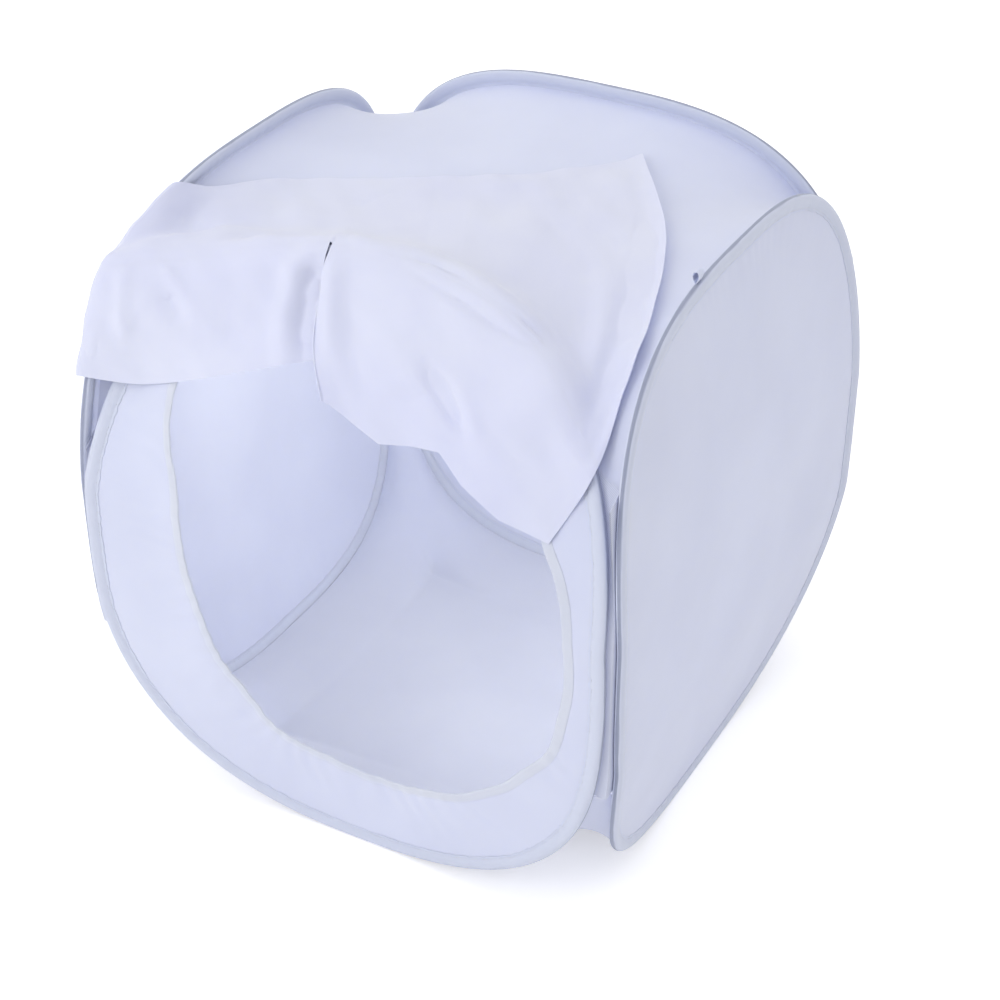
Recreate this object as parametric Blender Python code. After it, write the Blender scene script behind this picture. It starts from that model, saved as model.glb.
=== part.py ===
"""Light tent cube: four sprung ring walls, a cloth top and floor, and a loose front cover.

The tent's frame: metres, +Z up, origin on the floor cloth's underside at the centre, and the open
front faces -Y. Each wall is drawn in its own frame: u runs along the wall to the right as seen from
outside, z goes up, and y points into the tent from the wall's middle plane.
"""

import math
from collections import namedtuple

import bpy
import bmesh
import numpy as np
from mathutils import Matrix, Vector
from mathutils.bvhtree import BVHTree

# Walls and their corner seams
RING_HALF_WIDTH = 0.297
RING_HEIGHT = 0.646
SEAM_GAP = 0.003
SEAM = RING_HALF_WIDTH + SEAM_GAP
SEAM_DEPTH = 0.006

# The straight waist of each ring, where the walls are sewn together
WAIST_HEIGHT = 0.140
WAIST_BELOW_MIDDLE = 0.033
WAIST_LOW = RING_HEIGHT / 2 - WAIST_BELOW_MIDDLE - WAIST_HEIGHT / 2
WAIST_HIGH = WAIST_LOW + WAIST_HEIGHT
BOW_POWER = 1.3
STATIONS_BELOW_WAIST = 10
STATIONS_AT_WAIST = 3
STATIONS_ABOVE_WAIST = 11
HALF_ROUND = STATIONS_BELOW_WAIST + STATIONS_AT_WAIST + STATIONS_ABOVE_WAIST
STATIONS = 2 * HALF_ROUND
CLOSURE = STATIONS_BELOW_WAIST + 1
CURVE_STEPS = 1440

# How far the cloth pulls each ring's top and bottom into the tent, and where the ring is widest
SIDE_BOW_TOP = 0.032
SIDE_BOW_BOTTOM = 0.040
FRONT_BOW_TOP = 0.122
FRONT_BOW_BOTTOM = 0.024
FRONT_WIDEST_DROP = 0.018
SIDE_WIDEST = RING_HEIGHT / 2
FRONT_WIDEST = RING_HEIGHT / 2 - FRONT_WIDEST_DROP
SIDE_SQUARENESS = 3.0
FRONT_SQUARENESS = 2.5

# Heights where the top and floor cloth are sewn into the corner seams, above and below the waist
FRONT_LEFT_RISE = 0.040
FRONT_RIGHT_RISE = 0.145
BACK_RIGHT_RISE = 0.140
BACK_LEFT_RISE = 0.180
FLOOR_DROP = 0.030
FRONT_LEFT_APEX = WAIST_HIGH + FRONT_LEFT_RISE
FRONT_RIGHT_APEX = WAIST_HIGH + FRONT_RIGHT_RISE
BACK_RIGHT_APEX = WAIST_HIGH + BACK_RIGHT_RISE
BACK_LEFT_APEX = WAIST_HIGH + BACK_LEFT_RISE
FLOOR_APEX = WAIST_LOW - FLOOR_DROP

# Spring-steel band and the ferrule that closes it
BAND_DEPTH = 0.001
BAND_WIDTH = 0.004
BAND_EDGE = 0.002
BAND_END_GAP = 0.001
FERRULE_LENGTH = 0.030
FERRULE_WALL = 0.0005
FERRULE_CLEAR = 0.0003

# Sleeve: a cloth channel round the band, open towards the wall's cloth
SLEEVE_WALL = 0.0009
SLEEVE_LIP_WALL = 0.0005
SLEEVE_BACK_WIDTH = 0.0072
SLEEVE_BULGE_WIDTH = 0.009
SLEEVE_BULGE_AT = 0.005
SLEEVE_DEPTH = 0.016

# Cloth
CLOTH = 0.0008
CLOTH_CLEAR = 0.0004
PANEL_EDGE_AT = 0.013
FLOOR_EDGE_AT = 0.006
TOP_EDGE_AT = 0.0185
TOP_ACROSS = 0.0016
TOP_CORNER_STATIONS = 2
MEMBRANE_CLEAR = 0.0004
MEMBRANE_STEPS = 14
FLOOR_FLAT_FROM = 3
MEMBRANE_RELAX_STEPS = 1500

# The border's cloth ends in an uneven opening, wider at the left and below than at the right
OPENING_PLACE_SHARES = (0.101, 0.511)
OPENING_SHARES = [
    (-0.673, 0.749), (-0.660, 0.681), (-0.626, 0.611), (-0.596, 0.534), (-0.579, 0.449),
    (-0.522, 0.364), (-0.421, 0.276), (-0.269, 0.201), (-0.061, 0.172), (0.185, 0.169),
    (0.404, 0.189), (0.556, 0.229), (0.690, 0.291), (0.801, 0.365), (0.848, 0.458),
    (0.848, 0.551), (0.808, 0.635), (0.721, 0.700), (0.572, 0.774), (0.377, 0.833),
    (0.152, 0.864), (-0.101, 0.878), (-0.354, 0.870), (-0.539, 0.845), (-0.640, 0.805),
]
OPENING_STEPS = 720
BORDER_MID_SHARE = 0.5

# Corner tape leaves
LEAF_LENGTH = 0.0177
LEAF_END_GAP = 0.0003
LEAF_CLEAR = 0.0003
LEAF_INSET = 0.002
LEAF_LOW = WAIST_LOW + LEAF_INSET
LEAF_HIGH = WAIST_HIGH - LEAF_INSET

# Front cover thrown back over the top
COVER_CLEAR = 0.0004
COVER_JOIN_GAP = 0.0010
SLIT_GAP = 0.0030
PUSH_REACH = 0.060
PUSH_STEPS = 5
PUSH_ROUNDS = 2
SETTLE = 0.008
FOLD_DEPTH = 0.006

# The cover as a net of places, each as shares of the ring's half width, half width and height. A column
# runs up from the front hem, over the front ring's crest, and on to the hem that lies on the top
CREST_ROW = 2
FINER_COLUMNS = 3
FINER_ROWS = 2
COVER_LEFT_SHARES = [
    [(-1.054, -0.882, 0.724), (-1.057, -0.822, 0.786), (-1.047, -0.754, 0.861),
     (-1.027, -0.626, 0.913), (-1.010, -0.519, 0.932), (-0.993, -0.418, 0.941)],
    [(-1.017, -0.956, 0.749), (-1.020, -0.902, 0.820), (-0.997, -0.828, 0.910),
     (-0.970, -0.680, 0.957), (-0.946, -0.572, 0.975), (-0.929, -0.471, 0.988)],
    [(-0.781, -0.902, 0.749), (-0.801, -0.842, 0.848), (-0.768, -0.761, 0.938),
     (-0.828, -0.539, 0.950), (-0.801, -0.418, 0.954), (-0.774, -0.303, 0.957)],
    [(-0.451, -0.848, 0.802), (-0.505, -0.781, 0.876), (-0.522, -0.684, 0.963),
     (-0.690, -0.320, 0.933), (-0.684, -0.195, 0.940), (-0.660, -0.064, 0.943)],
    [(-0.158, -0.801, 0.847), (-0.178, -0.727, 0.916), (-0.189, -0.630, 0.998),
     (-0.431, -0.155, 0.929), (-0.370, 0.010, 0.937), (-0.276, 0.175, 0.943)],
]
COVER_RIGHT_SHARES = [
    [(-0.084, -0.838, 0.813), (-0.155, -0.744, 0.901), (-0.189, -0.630, 0.998),
     (-0.431, -0.155, 0.929), (-0.370, 0.010, 0.937), (-0.276, 0.175, 0.943)],
    [(0.192, -0.872, 0.774), (0.138, -0.768, 0.876), (0.148, -0.626, 0.998),
     (-0.061, -0.125, 0.932), (-0.061, 0.104, 0.938), (-0.024, 0.316, 0.946)],
    [(0.461, -0.902, 0.740), (0.468, -0.795, 0.847), (0.539, -0.690, 0.954),
     (0.428, -0.290, 0.938), (0.316, 0.121, 0.943), (0.175, 0.525, 0.946)],
    [(0.751, -0.943, 0.698), (0.822, -0.886, 0.765), (0.865, -0.842, 0.810),
     (0.859, -0.508, 0.942), (0.657, 0.088, 0.955), (0.273, 0.663, 0.946)],
]
# Where the halves' main folds stand out and fall back, from the left, as shares of the fold's depth
LEFT_FOLD_SHARES = [0.0, 0.6, 0.0, 0.8, -0.3]
RIGHT_FOLD_SHARES = [0.6, 0.1, 1.0, 0.0]

# Hook-and-loop strips under the cover's top edge
STRIP_LENGTH = 0.200
STRIP_WIDTH = 0.016
LOOP_STRIP_THICK = 0.0010
HOOK_STRIP_THICK = 0.0012
STRIP_CLEAR = 0.0003
STRIP_BELOW_SLEEVE = 0.004

# Pull tab on the right wall's sleeve, its place as a share of the ring's half width
TAB_PLACE_SHARE = -0.2963
TAB_WIDTH = 0.010
TAB_THICK = 0.0012
TAB_HEIGHT = 0.012
TAB_CLEAR = 0.0003

Wall = namedtuple("Wall", "name turn widest squareness bow_top bow_bottom start_apex end_apex")

WALLS = [
    Wall("front", 0.0, FRONT_WIDEST, FRONT_SQUARENESS, FRONT_BOW_TOP, FRONT_BOW_BOTTOM,
         FRONT_LEFT_APEX, FRONT_RIGHT_APEX),
    Wall("right", 90.0, SIDE_WIDEST, SIDE_SQUARENESS, SIDE_BOW_TOP, SIDE_BOW_BOTTOM,
         FRONT_RIGHT_APEX, BACK_RIGHT_APEX),
    Wall("back", 180.0, SIDE_WIDEST, SIDE_SQUARENESS, SIDE_BOW_TOP, SIDE_BOW_BOTTOM,
         BACK_RIGHT_APEX, BACK_LEFT_APEX),
    Wall("left", 270.0, SIDE_WIDEST, SIDE_SQUARENESS, SIDE_BOW_TOP, SIDE_BOW_BOTTOM,
         BACK_LEFT_APEX, FRONT_LEFT_APEX),
]
FRONT, RIGHT, BACK, LEFT = WALLS

# The hinge of each wall: the corner seam that its empty stands on
HINGES = {
    "front": (0.0, 0.0),
    "right": (SEAM, -SEAM),
    "back": (SEAM, SEAM),
    "left": (-SEAM, -SEAM),
}

MIDDLE_PLANE = SEAM + SEAM_DEPTH


def material(name, colour, roughness, metallic=0.0):
    """A plain Principled BSDF."""
    made = bpy.data.materials.new(name)
    made.use_nodes = True
    shader = made.node_tree.nodes["Principled BSDF"]
    shader.inputs["Base Color"].default_value = (*colour, 1.0)
    shader.inputs["Roughness"].default_value = roughness
    shader.inputs["Metallic"].default_value = metallic
    return made


WHITE_CLOTH = (0.72, 0.75, 0.84)
TAPE_CLOTH = (0.66, 0.69, 0.80)
STEEL = (0.32, 0.33, 0.35)
FERRULE_METAL = (0.45, 0.45, 0.47)


def clear_scene():
    """Removes whatever the scene starts with."""
    for thing in list(bpy.data.objects):
        bpy.data.objects.remove(thing)


def bow(wall, z):
    """How far the wall's cloth and ring stand into the tent at a height."""
    above = np.maximum(0.0, (z - WAIST_HIGH) / (RING_HEIGHT - WAIST_HIGH))
    below = np.maximum(0.0, (WAIST_LOW - z) / WAIST_LOW)
    return wall.bow_top * above ** BOW_POWER + wall.bow_bottom * below ** BOW_POWER


def outer_outline(wall, angle):
    """A point of the ring's outer edge; angle 0 is the bottom centre, turning towards +u."""
    side = np.sin(angle)
    rise = -np.cos(angle)
    power = 2.0 / wall.squareness
    u = np.sign(side) * np.abs(side) ** power * RING_HALF_WIDTH
    lift = np.sign(rise) * np.abs(rise) ** power
    tall = np.where(lift > 0.0, RING_HEIGHT - wall.widest, wall.widest)
    return u, wall.widest + lift * tall


def ring_stations(wall):
    """Points on the outer edge from the bottom centre, and the directions that point into the ring.

    Below, along and above the straight waist they are evenly spaced.
    """
    turn = np.linspace(0.0, math.tau, CURVE_STEPS + 1)
    u, z = outer_outline(wall, turn)
    run = np.concatenate([[0.0], np.cumsum(np.hypot(np.diff(u), np.diff(z)))])
    rising = slice(0, CURVE_STEPS // 2 + 1)
    low, high = np.interp([WAIST_LOW, WAIST_HIGH], z[rising], run[rising])
    whole = run[-1]
    right = np.concatenate([np.linspace(0.0, low, STATIONS_BELOW_WAIST + 1)[:-1],
                            np.linspace(low, high, STATIONS_AT_WAIST + 1)[:-1],
                            np.linspace(high, whole / 2, STATIONS_ABOVE_WAIST + 1)])
    places = np.concatenate([right, whole - right[1:-1][::-1]])
    ahead = whole / CURVE_STEPS
    before = (places - ahead) % whole
    after = (places + ahead) % whole
    along = np.stack([np.interp(after, run, side) - np.interp(before, run, side) for side in (u, z)], 1)
    along /= np.linalg.norm(along, axis=1)[:, None]
    spots = np.stack([np.interp(places, run, u), np.interp(places, run, z)], 1)
    return spots, np.stack([-along[:, 1], along[:, 0]], 1)


def wall_point(wall, u, z, y):
    """A point in the wall's frame, y from its cloth, bowed with the wall."""
    return (float(u), float(bow(wall, z) + y), float(z))


def at_depth(wall, spot, inward, depth, y):
    """A point that lies depth inside the ring's outer edge."""
    u, z = spot + inward * depth
    return wall_point(wall, u, z, y)


def to_tent(wall, point):
    """From a wall's frame to the tent's frame."""
    turned = Matrix.Rotation(math.radians(wall.turn), 3, "Z")
    return turned @ Vector((point[0], point[1] - MIDDLE_PLANE, point[2]))


def add_object(name, verts, faces, look, parent=None, offset=(0.0, 0.0, 0.0)):
    """A mesh object from points and faces, with its faces turned outwards."""
    mesh = bpy.data.meshes.new(name)
    mesh.from_pydata([tuple(vert) for vert in verts], [], faces)
    build = bmesh.new()
    build.from_mesh(mesh)
    bmesh.ops.recalc_face_normals(build, faces=build.faces)
    build.to_mesh(mesh)
    build.free()
    mesh.materials.append(look)
    made = bpy.data.objects.new(name, mesh)
    bpy.context.scene.collection.objects.link(made)
    made.parent = parent
    made.location = offset
    return made


def skin(loops, around):
    """Faces that join a row of closed loops. The row itself closes, or its ends are capped."""
    verts = [point for loop in loops for point in loop]
    size = len(loops[0])
    faces = []
    for row in range(len(loops) if around else len(loops) - 1):
        here = row * size
        there = (row + 1) % len(loops) * size
        for step in range(size):
            after = (step + 1) % size
            faces.append((here + step, here + after, there + after, there + step))
    if not around:
        faces.append(tuple(range(size)))
        faces.append(tuple(range(len(verts) - size, len(verts))))
    return verts, faces


def wall_offset(wall):
    """Where a wall's frame lies under its empty."""
    if wall is FRONT:
        return (0.0, -MIDDLE_PLANE, 0.0)
    if wall is LEFT:
        return (-SEAM, -SEAM_DEPTH, 0.0)
    return (SEAM, -SEAM_DEPTH, 0.0)


def wall_empties():
    """One empty a wall, standing on the seam that the wall turns about."""
    empties = {}
    for wall in WALLS:
        made = bpy.data.objects.new(wall.name + "_wall", None)
        bpy.context.scene.collection.objects.link(made)
        made.location = (*HINGES[wall.name], 0.0)
        made.rotation_euler = (0.0, 0.0, math.radians(wall.turn))
        empties[wall.name] = made
    return empties


def add_to_wall(wall, empties, name, verts, faces, look):
    """A piece drawn in a wall's frame."""
    return add_object(name, verts, faces, look, empties[wall.name], wall_offset(wall))


def beside_closure(wall, reach):
    """The place where the band closes, in the straight waist, and points that far before and after."""
    spots, inward = ring_stations(wall)
    here = spots[CLOSURE]
    before = here + (spots[CLOSURE - 1] - here) * reach / np.linalg.norm(spots[CLOSURE - 1] - here)
    after = here + (spots[CLOSURE + 1] - here) * reach / np.linalg.norm(spots[CLOSURE + 1] - here)
    return before, here, after, inward[CLOSURE]


def add_band(wall, empties, look):
    """The spring-steel band: one long strip bent to a loop, its two ends nearly meeting."""
    spots, inward = ring_stations(wall)
    section = [(BAND_EDGE, -BAND_WIDTH / 2), (BAND_EDGE, BAND_WIDTH / 2),
               (BAND_EDGE + BAND_DEPTH, BAND_WIDTH / 2), (BAND_EDGE + BAND_DEPTH, -BAND_WIDTH / 2)]
    end, _, start, into_ring = beside_closure(wall, BAND_END_GAP / 2)
    rest = [(CLOSURE + step) % STATIONS for step in range(1, STATIONS)]
    path = [(start, into_ring)] + [(spots[index], inward[index]) for index in rest] + [(end, into_ring)]
    loops = [[at_depth(wall, spot, into, depth, y) for depth, y in section] for spot, into in path]
    verts, faces = skin(loops, False)
    return add_to_wall(wall, empties, wall.name + "_ring", verts, faces, look)


def ferrule_loop(wall, spot, into, grown):
    """The four corners of the ferrule's bore, grown outwards, at one end of it."""
    near = BAND_EDGE - grown
    far = BAND_EDGE + BAND_DEPTH + grown
    half = BAND_WIDTH / 2 + grown
    return [at_depth(wall, spot, into, depth, y)
            for depth, y in [(near, -half), (near, half), (far, half), (far, -half)]]


def add_ferrule(wall, empties, look):
    """A short tube round the band's two ends."""
    *places, into = beside_closure(wall, FERRULE_LENGTH / 2)
    outer = [ferrule_loop(wall, place, into, FERRULE_CLEAR + FERRULE_WALL) for place in places]
    bore = [ferrule_loop(wall, place, into, FERRULE_CLEAR) for place in places]
    verts, faces = skin(outer + bore[::-1], True)
    return add_to_wall(wall, empties, wall.name + "_ferrule", verts, faces, look)


def sleeve_section():
    """The channel's section: depth into the ring, and y across the wall."""
    slot = CLOTH / 2 + CLOTH_CLEAR
    half_back = SLEEVE_BACK_WIDTH / 2
    half_bulge = SLEEVE_BULGE_WIDTH / 2
    outer = [(0.0, half_back), (SLEEVE_BULGE_AT, half_bulge), (SLEEVE_DEPTH, slot + SLEEVE_LIP_WALL)]
    inner = [(SLEEVE_DEPTH, slot), (SLEEVE_BULGE_AT, half_bulge - SLEEVE_WALL),
             (SLEEVE_WALL, half_back - SLEEVE_LIP_WALL)]
    one_side = outer + inner
    return one_side + [(depth, -y) for depth, y in reversed(one_side)]


def add_sleeve(wall, empties, look):
    """The sewn cloth channel that holds the band."""
    spots, inward = ring_stations(wall)
    loops = []
    for spot, into in zip(spots, inward):
        loops.append([at_depth(wall, spot, into, depth, y) for depth, y in sleeve_section()])
    verts, faces = skin(loops, True)
    return add_to_wall(wall, empties, wall.name + "_sleeve", verts, faces, look)


def add_panel(wall, empties, look):
    """A wall's cloth, with its edge inside the sleeve's slot. Its rows run level from side to side."""
    spots, inward = ring_stations(wall)
    verts = []
    for y in (-CLOTH / 2, CLOTH / 2):
        verts += [at_depth(wall, spot, into, PANEL_EDGE_AT, y) for spot, into in zip(spots, inward)]
    faces = []
    half = HALF_ROUND
    for first in (0, STATIONS):
        for row in range(1, half - 1):
            right = (row, row + 1)
            left = (STATIONS - row - 1, STATIONS - row)
            faces.append(tuple(first + index for index in right + left))
        faces.append(tuple(first + index for index in (0, 1, STATIONS - 1)))
        faces.append(tuple(first + index for index in (half - 1, half, half + 1)))
    for step in range(STATIONS):
        after = (step + 1) % STATIONS
        faces.append((step, after, STATIONS + after, STATIONS + step))
    return add_to_wall(wall, empties, wall.name + "_panel", verts, faces, look)


def smooth_line(points, shares):
    """A smooth line through points, or through rows of them, at shares of the way along it."""
    padded = np.concatenate([2 * points[:1] - points[1:2], points, 2 * points[-1:] - points[-2:-1]])
    place = shares * (len(points) - 1)
    index = np.minimum(place.astype(int), len(points) - 2)
    t = (place - index).reshape(-1, *[1] * (points.ndim - 1))
    before, start, end, after = [padded[index + step] for step in range(4)]
    return start + 0.5 * t * (end - before + t * (2 * before - 5 * start + 4 * end - after
                                                  + t * (3 * (start - end) + after - before)))


def opening_line():
    """The opening's edge as angles and distances from its middle."""
    size = np.array([RING_HALF_WIDTH, RING_HEIGHT])
    middle = OPENING_PLACE_SHARES * size
    around = np.array(OPENING_SHARES * 3) * size - middle
    line = smooth_line(around, np.linspace(1 / 3, 2 / 3, OPENING_STEPS + 1))
    return middle, np.unwrap(np.arctan2(line[:, 1], line[:, 0])), np.hypot(line[:, 0], line[:, 1])


def opening_point(spot):
    """The point of the opening's edge that lies towards a point of the ring."""
    middle, angles, reaches = opening_line()
    u, z = spot - middle
    angle = angles[0] + (math.atan2(z, u) - angles[0]) % math.tau
    reach = np.interp(angle, angles, reaches)
    return middle + reach * np.array([math.cos(angle), math.sin(angle)])


def add_border(empties, look):
    """The front wall's cloth border round the opening."""
    spots, inward = ring_stations(FRONT)
    loops = []
    for spot, into in zip(spots, inward):
        edge = spot + into * PANEL_EDGE_AT
        hole = opening_point(spot)
        middle = edge + (hole - edge) * BORDER_MID_SHARE
        loop = [wall_point(FRONT, *place, -CLOTH / 2) for place in (edge, middle, hole)]
        loop += [wall_point(FRONT, *place, CLOTH / 2) for place in (hole, middle, edge)]
        loops.append(loop)
    verts, faces = skin(loops, True)
    return add_to_wall(FRONT, empties, "front_border", verts, faces, look)


def seam_corner(before, after, z, across):
    """Where a cloth's corner is sewn in: the line in which the inner faces of two walls meet."""
    first = to_tent(before, wall_point(before, 0.0, z, across))
    second = to_tent(after, wall_point(after, 0.0, z, across))
    return Vector((first.x + second.x, first.y + second.y, z))


def membrane_side(number, upper):
    """One side of the top or the floor: the line in which it is sewn to a wall, seam to seam."""
    wall, before, after = WALLS[number], WALLS[number - 1], WALLS[(number + 1) % len(WALLS)]
    start, end = (wall.start_apex, wall.end_apex) if upper else (FLOOR_APEX, FLOOR_APEX)
    across = SLEEVE_BULGE_WIDTH / 2 + MEMBRANE_CLEAR + CLOTH / 2
    depth = TOP_EDGE_AT if upper else FLOOR_EDGE_AT
    spots, inward = ring_stations(wall)
    order = np.arange(STATIONS, 0, -1) if upper else np.arange(-HALF_ROUND, HALF_ROUND)
    places = spots[order % STATIONS] + inward[order % STATIONS] * depth
    limit = np.where(places[:, 0] < 0.0, start, end)
    places = places[places[:, 1] > limit + TOP_EDGE_AT if upper else places[:, 1] < limit]
    ways = np.full(len(places), across)
    if upper:
        ways[TOP_CORNER_STATIONS:-TOP_CORNER_STATIONS] = TOP_ACROSS
    line = [seam_corner(before, wall, start, across)]
    line += [to_tent(wall, wall_point(wall, u, z, way)) for (u, z), way in zip(places, ways)]
    line.append(seam_corner(wall, after, end, across))
    line = np.array(line)
    run = np.concatenate([[0.0], np.cumsum(np.linalg.norm(np.diff(line, axis=0), axis=1))])
    even = np.linspace(0.0, run[-1], MEMBRANE_STEPS + 1)
    return np.stack([np.interp(even, run, column) for column in line.T], 1)


def stretched(upper):
    """A square net of points, its sides on the four rings and the rest pulled even, as taut cloth is.

    The floor's middle lies flat, because the tent stands on it.
    """
    front, right, back, left = [membrane_side(number, upper) for number in range(len(WALLS))]
    share = np.linspace(0.0, 1.0, MEMBRANE_STEPS + 1)
    a, b = share[:, None, None], share[None, :, None]
    net = (front[:, None] * (1 - b) + back[::-1][:, None] * b + left[::-1][None] * (1 - a) + right[None] * a
           - front[0] * (1 - a) * (1 - b) - front[-1] * a * (1 - b) - back[-1] * (1 - a) * b - back[0] * a * b)
    for _ in range(MEMBRANE_RELAX_STEPS):
        net[1:-1, 1:-1] = (net[:-2, 1:-1] + net[2:, 1:-1] + net[1:-1, :-2] + net[1:-1, 2:]) / 4
        if not upper:
            net[..., 2] = np.maximum(net[..., 2], CLOTH / 2)
            net[FLOOR_FLAT_FROM:-FLOOR_FLAT_FROM, FLOOR_FLAT_FROM:-FLOOR_FLAT_FROM, 2] = CLOTH / 2
    return net


def add_membrane(name, upper, look, parent):
    """The top or the floor: one cloth stretched between the four rings."""
    net = stretched(upper)
    made = add_object(name, net.reshape(-1, 3), sheet_faces(*net.shape[:2]), look, parent)
    thicken(made)
    return made


def thicken(made):
    """Gives a sheet the cloth's thickness, half on each side."""
    solid = made.modifiers.new("thickness", "SOLIDIFY")
    solid.thickness = CLOTH
    solid.offset = 0.0


def add_leaves(wall, empties, look):
    """The tape leaves that hinge a wall to its neighbours, one at each of its two seams."""
    near = SLEEVE_BULGE_WIDTH / 2 + LEAF_CLEAR
    far = near + CLOTH
    for side, place in ((-1.0, "start"), (1.0, "end")):
        tip = side * (SEAM - LEAF_END_GAP)
        root = side * (SEAM - LEAF_END_GAP - LEAF_LENGTH)
        low, high = [[(u, y, z) for u, y in ((tip, near), (tip, far), (root, far), (root, near))]
                     for z in (LEAF_LOW, LEAF_HIGH)]
        verts, faces = skin([low, high], False)
        add_to_wall(wall, empties, wall.name + "_tape_" + place, verts, faces, look)


def crest_height(u):
    """The height of the front ring's outer edge over a place u."""
    reach = (1.0 - abs(u / RING_HALF_WIDTH) ** FRONT.squareness) ** (1.0 / FRONT.squareness)
    return FRONT.widest + reach * (RING_HEIGHT - FRONT.widest)


def sheet_faces(columns, rows):
    """Quads of a grid whose points are stored column by column."""
    faces = []
    for column in range(columns - 1):
        for row in range(rows - 1):
            here = column * rows + row
            faces.append((here, here + rows, here + rows + 1, here + 1))
    return faces


def supports(names):
    """Search trees of the pieces that the cover lies on, in the tent's frame."""
    graph = bpy.context.evaluated_depsgraph_get()
    trees = []
    for name in names:
        shape = bpy.data.objects[name].evaluated_get(graph)
        mesh = shape.to_mesh()
        verts = [shape.matrix_world @ vert.co for vert in mesh.vertices]
        trees.append(BVHTree.FromPolygons(verts, [tuple(face.vertices) for face in mesh.polygons]))
        shape.to_mesh_clear()
    return trees


def cover_net(shares, folds):
    """A net of the cover's places, with one more row halfway down behind the crest, and its folds."""
    net = np.array(shares) * [RING_HALF_WIDTH, RING_HALF_WIDTH, RING_HEIGHT]
    net[:, :CREST_ROW, 1] -= FOLD_DEPTH * np.array(folds)[:, None] * np.linspace(1.0, 0.5, CREST_ROW)
    net = np.insert(net, CREST_ROW + 1, (net[:, CREST_ROW] + net[:, CREST_ROW + 1]) / 2, axis=1)
    across = smooth_line(net, np.linspace(0.0, 1.0, FINER_COLUMNS * (len(net) - 1) + 1))
    turned = across.swapaxes(0, 1)
    return smooth_line(turned, np.linspace(0.0, 1.0, FINER_ROWS * (len(turned) - 1) + 1)).swapaxes(0, 1)


def ways_out(net):
    """The direction square to a net at each of its points, away from the tent's middle."""
    out = np.cross(np.gradient(net, axis=0), np.gradient(net, axis=1))
    out /= np.linalg.norm(out, axis=-1)[..., None]
    middle = [0.0, 0.0, RING_HEIGHT / 2]
    return out * np.sign(np.sum(out * (net - middle), axis=-1))[..., None]


def finer(net):
    """A net with PUSH_STEPS steps in the place of each one, on flat facets."""
    for axis in (0, 1):
        size = net.shape[axis]
        spots = np.linspace(0.0, size - 1, PUSH_STEPS * (size - 1) + 1)
        index = np.minimum(spots.astype(int), size - 2)
        share = (spots - index).reshape([-1 if axis == way else 1 for way in range(3)])
        net = np.take(net, index, axis) * (1 - share) + np.take(net, index + 1, axis) * share
    return net


def twists(net, ways):
    """How far a facet's diagonal may leave its flat middle, at each point of a net."""
    apart = net[:-1, :-1] + net[1:, 1:] - net[:-1, 1:] - net[1:, :-1]
    facets = np.abs(np.sum(apart * ways[:-1, :-1], axis=-1)) / 4
    most = np.zeros(net.shape[:2])
    for part in (most[:-1, :-1], most[1:, :-1], most[:-1, 1:], most[1:, 1:]):
        np.maximum(part, facets, out=part)
    return most


def pushes(trees, net, ways, gap):
    """How far each point of a net moves out, or in, for the facets round it to lie just clear."""
    needed = []
    clears = gap + finer(twists(net, ways)[..., None]).ravel()
    for point, way, clear in zip(finer(net).reshape(-1, 3), finer(ways).reshape(-1, 3), clears):
        start, back = Vector(point + way * PUSH_REACH), Vector(-way)
        hits = [tree.ray_cast(start, back, 2 * PUSH_REACH)[3] for tree in trees]
        near = [hit for hit in hits if hit is not None]
        needed.append(max(-SETTLE, PUSH_REACH - min(near) + clear) if near else 0.0)
    columns, rows = [PUSH_STEPS * (size - 1) + 1 for size in net.shape[:2]]
    field = np.pad(np.array(needed).reshape(columns, rows), PUSH_STEPS, mode="edge")
    span = 2 * PUSH_STEPS + 1
    return np.array([[field[column:column + span, row:row + span].max()
                      for row in range(0, rows, PUSH_STEPS)] for column in range(0, columns, PUSH_STEPS)])


def add_cover(look, parent):
    """The front cover: one part that lies on the top and two halves that hang in front."""
    trees = supports(["top_panel", "front_sleeve", "right_sleeve", "left_sleeve", "left_panel",
                      "front_border", "cover_hook_tape"])
    nets = [cover_net(COVER_LEFT_SHARES, LEFT_FOLD_SHARES), cover_net(COVER_RIGHT_SHARES, RIGHT_FOLD_SHARES)]
    slit = len(nets[0])
    net = np.concatenate([nets[0], nets[1][1:]])
    ways = ways_out(net)
    clear = COVER_CLEAR + CLOTH
    pushed = ways * clear
    crest = CREST_ROW * FINER_ROWS
    for number in range(PUSH_ROUNDS):
        more = pushes(trees, net + pushed, ways, clear)
        settling = crest + 1 if number == 0 else len(net[0])
        more[:, :settling] = np.maximum(more[:, :settling], 0.0)
        pushed += ways * more[..., None]
    top = net + pushed
    opened = np.concatenate([nets[0] + pushed[:slit], nets[1] + pushed[slit - 1:]])
    halves = {"cover_left_half": opened[:slit], "cover_right_half": opened[slit:]}
    for side, part in zip((-1.0, 1.0), halves.values()):
        edge = part[-1] if side < 0.0 else part[0]
        edge[:, 0] += side * SLIT_GAP / 2
    joined = top[:, crest]
    back = top[:, crest:]
    back[:, 0] += shortened(joined, back[:, 1], COVER_JOIN_GAP / 2)
    for name, part in halves.items():
        front = part[:, :crest + 1]
        front[:, -1] += shortened(front[:, -1], front[:, -2], COVER_JOIN_GAP / 2)
        made = add_object(name, front.reshape(-1, 3), sheet_faces(*front.shape[:2]), look, parent)
        thicken(made)
    made = add_object("cover_top", back.reshape(-1, 3), sheet_faces(*back.shape[:2]), look, parent)
    thicken(made)


def shortened(ends, beside, gap):
    """The move that brings each end a gap nearer to the point beside it."""
    way = beside - ends
    return way / np.linalg.norm(way, axis=-1)[..., None] * gap


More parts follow.
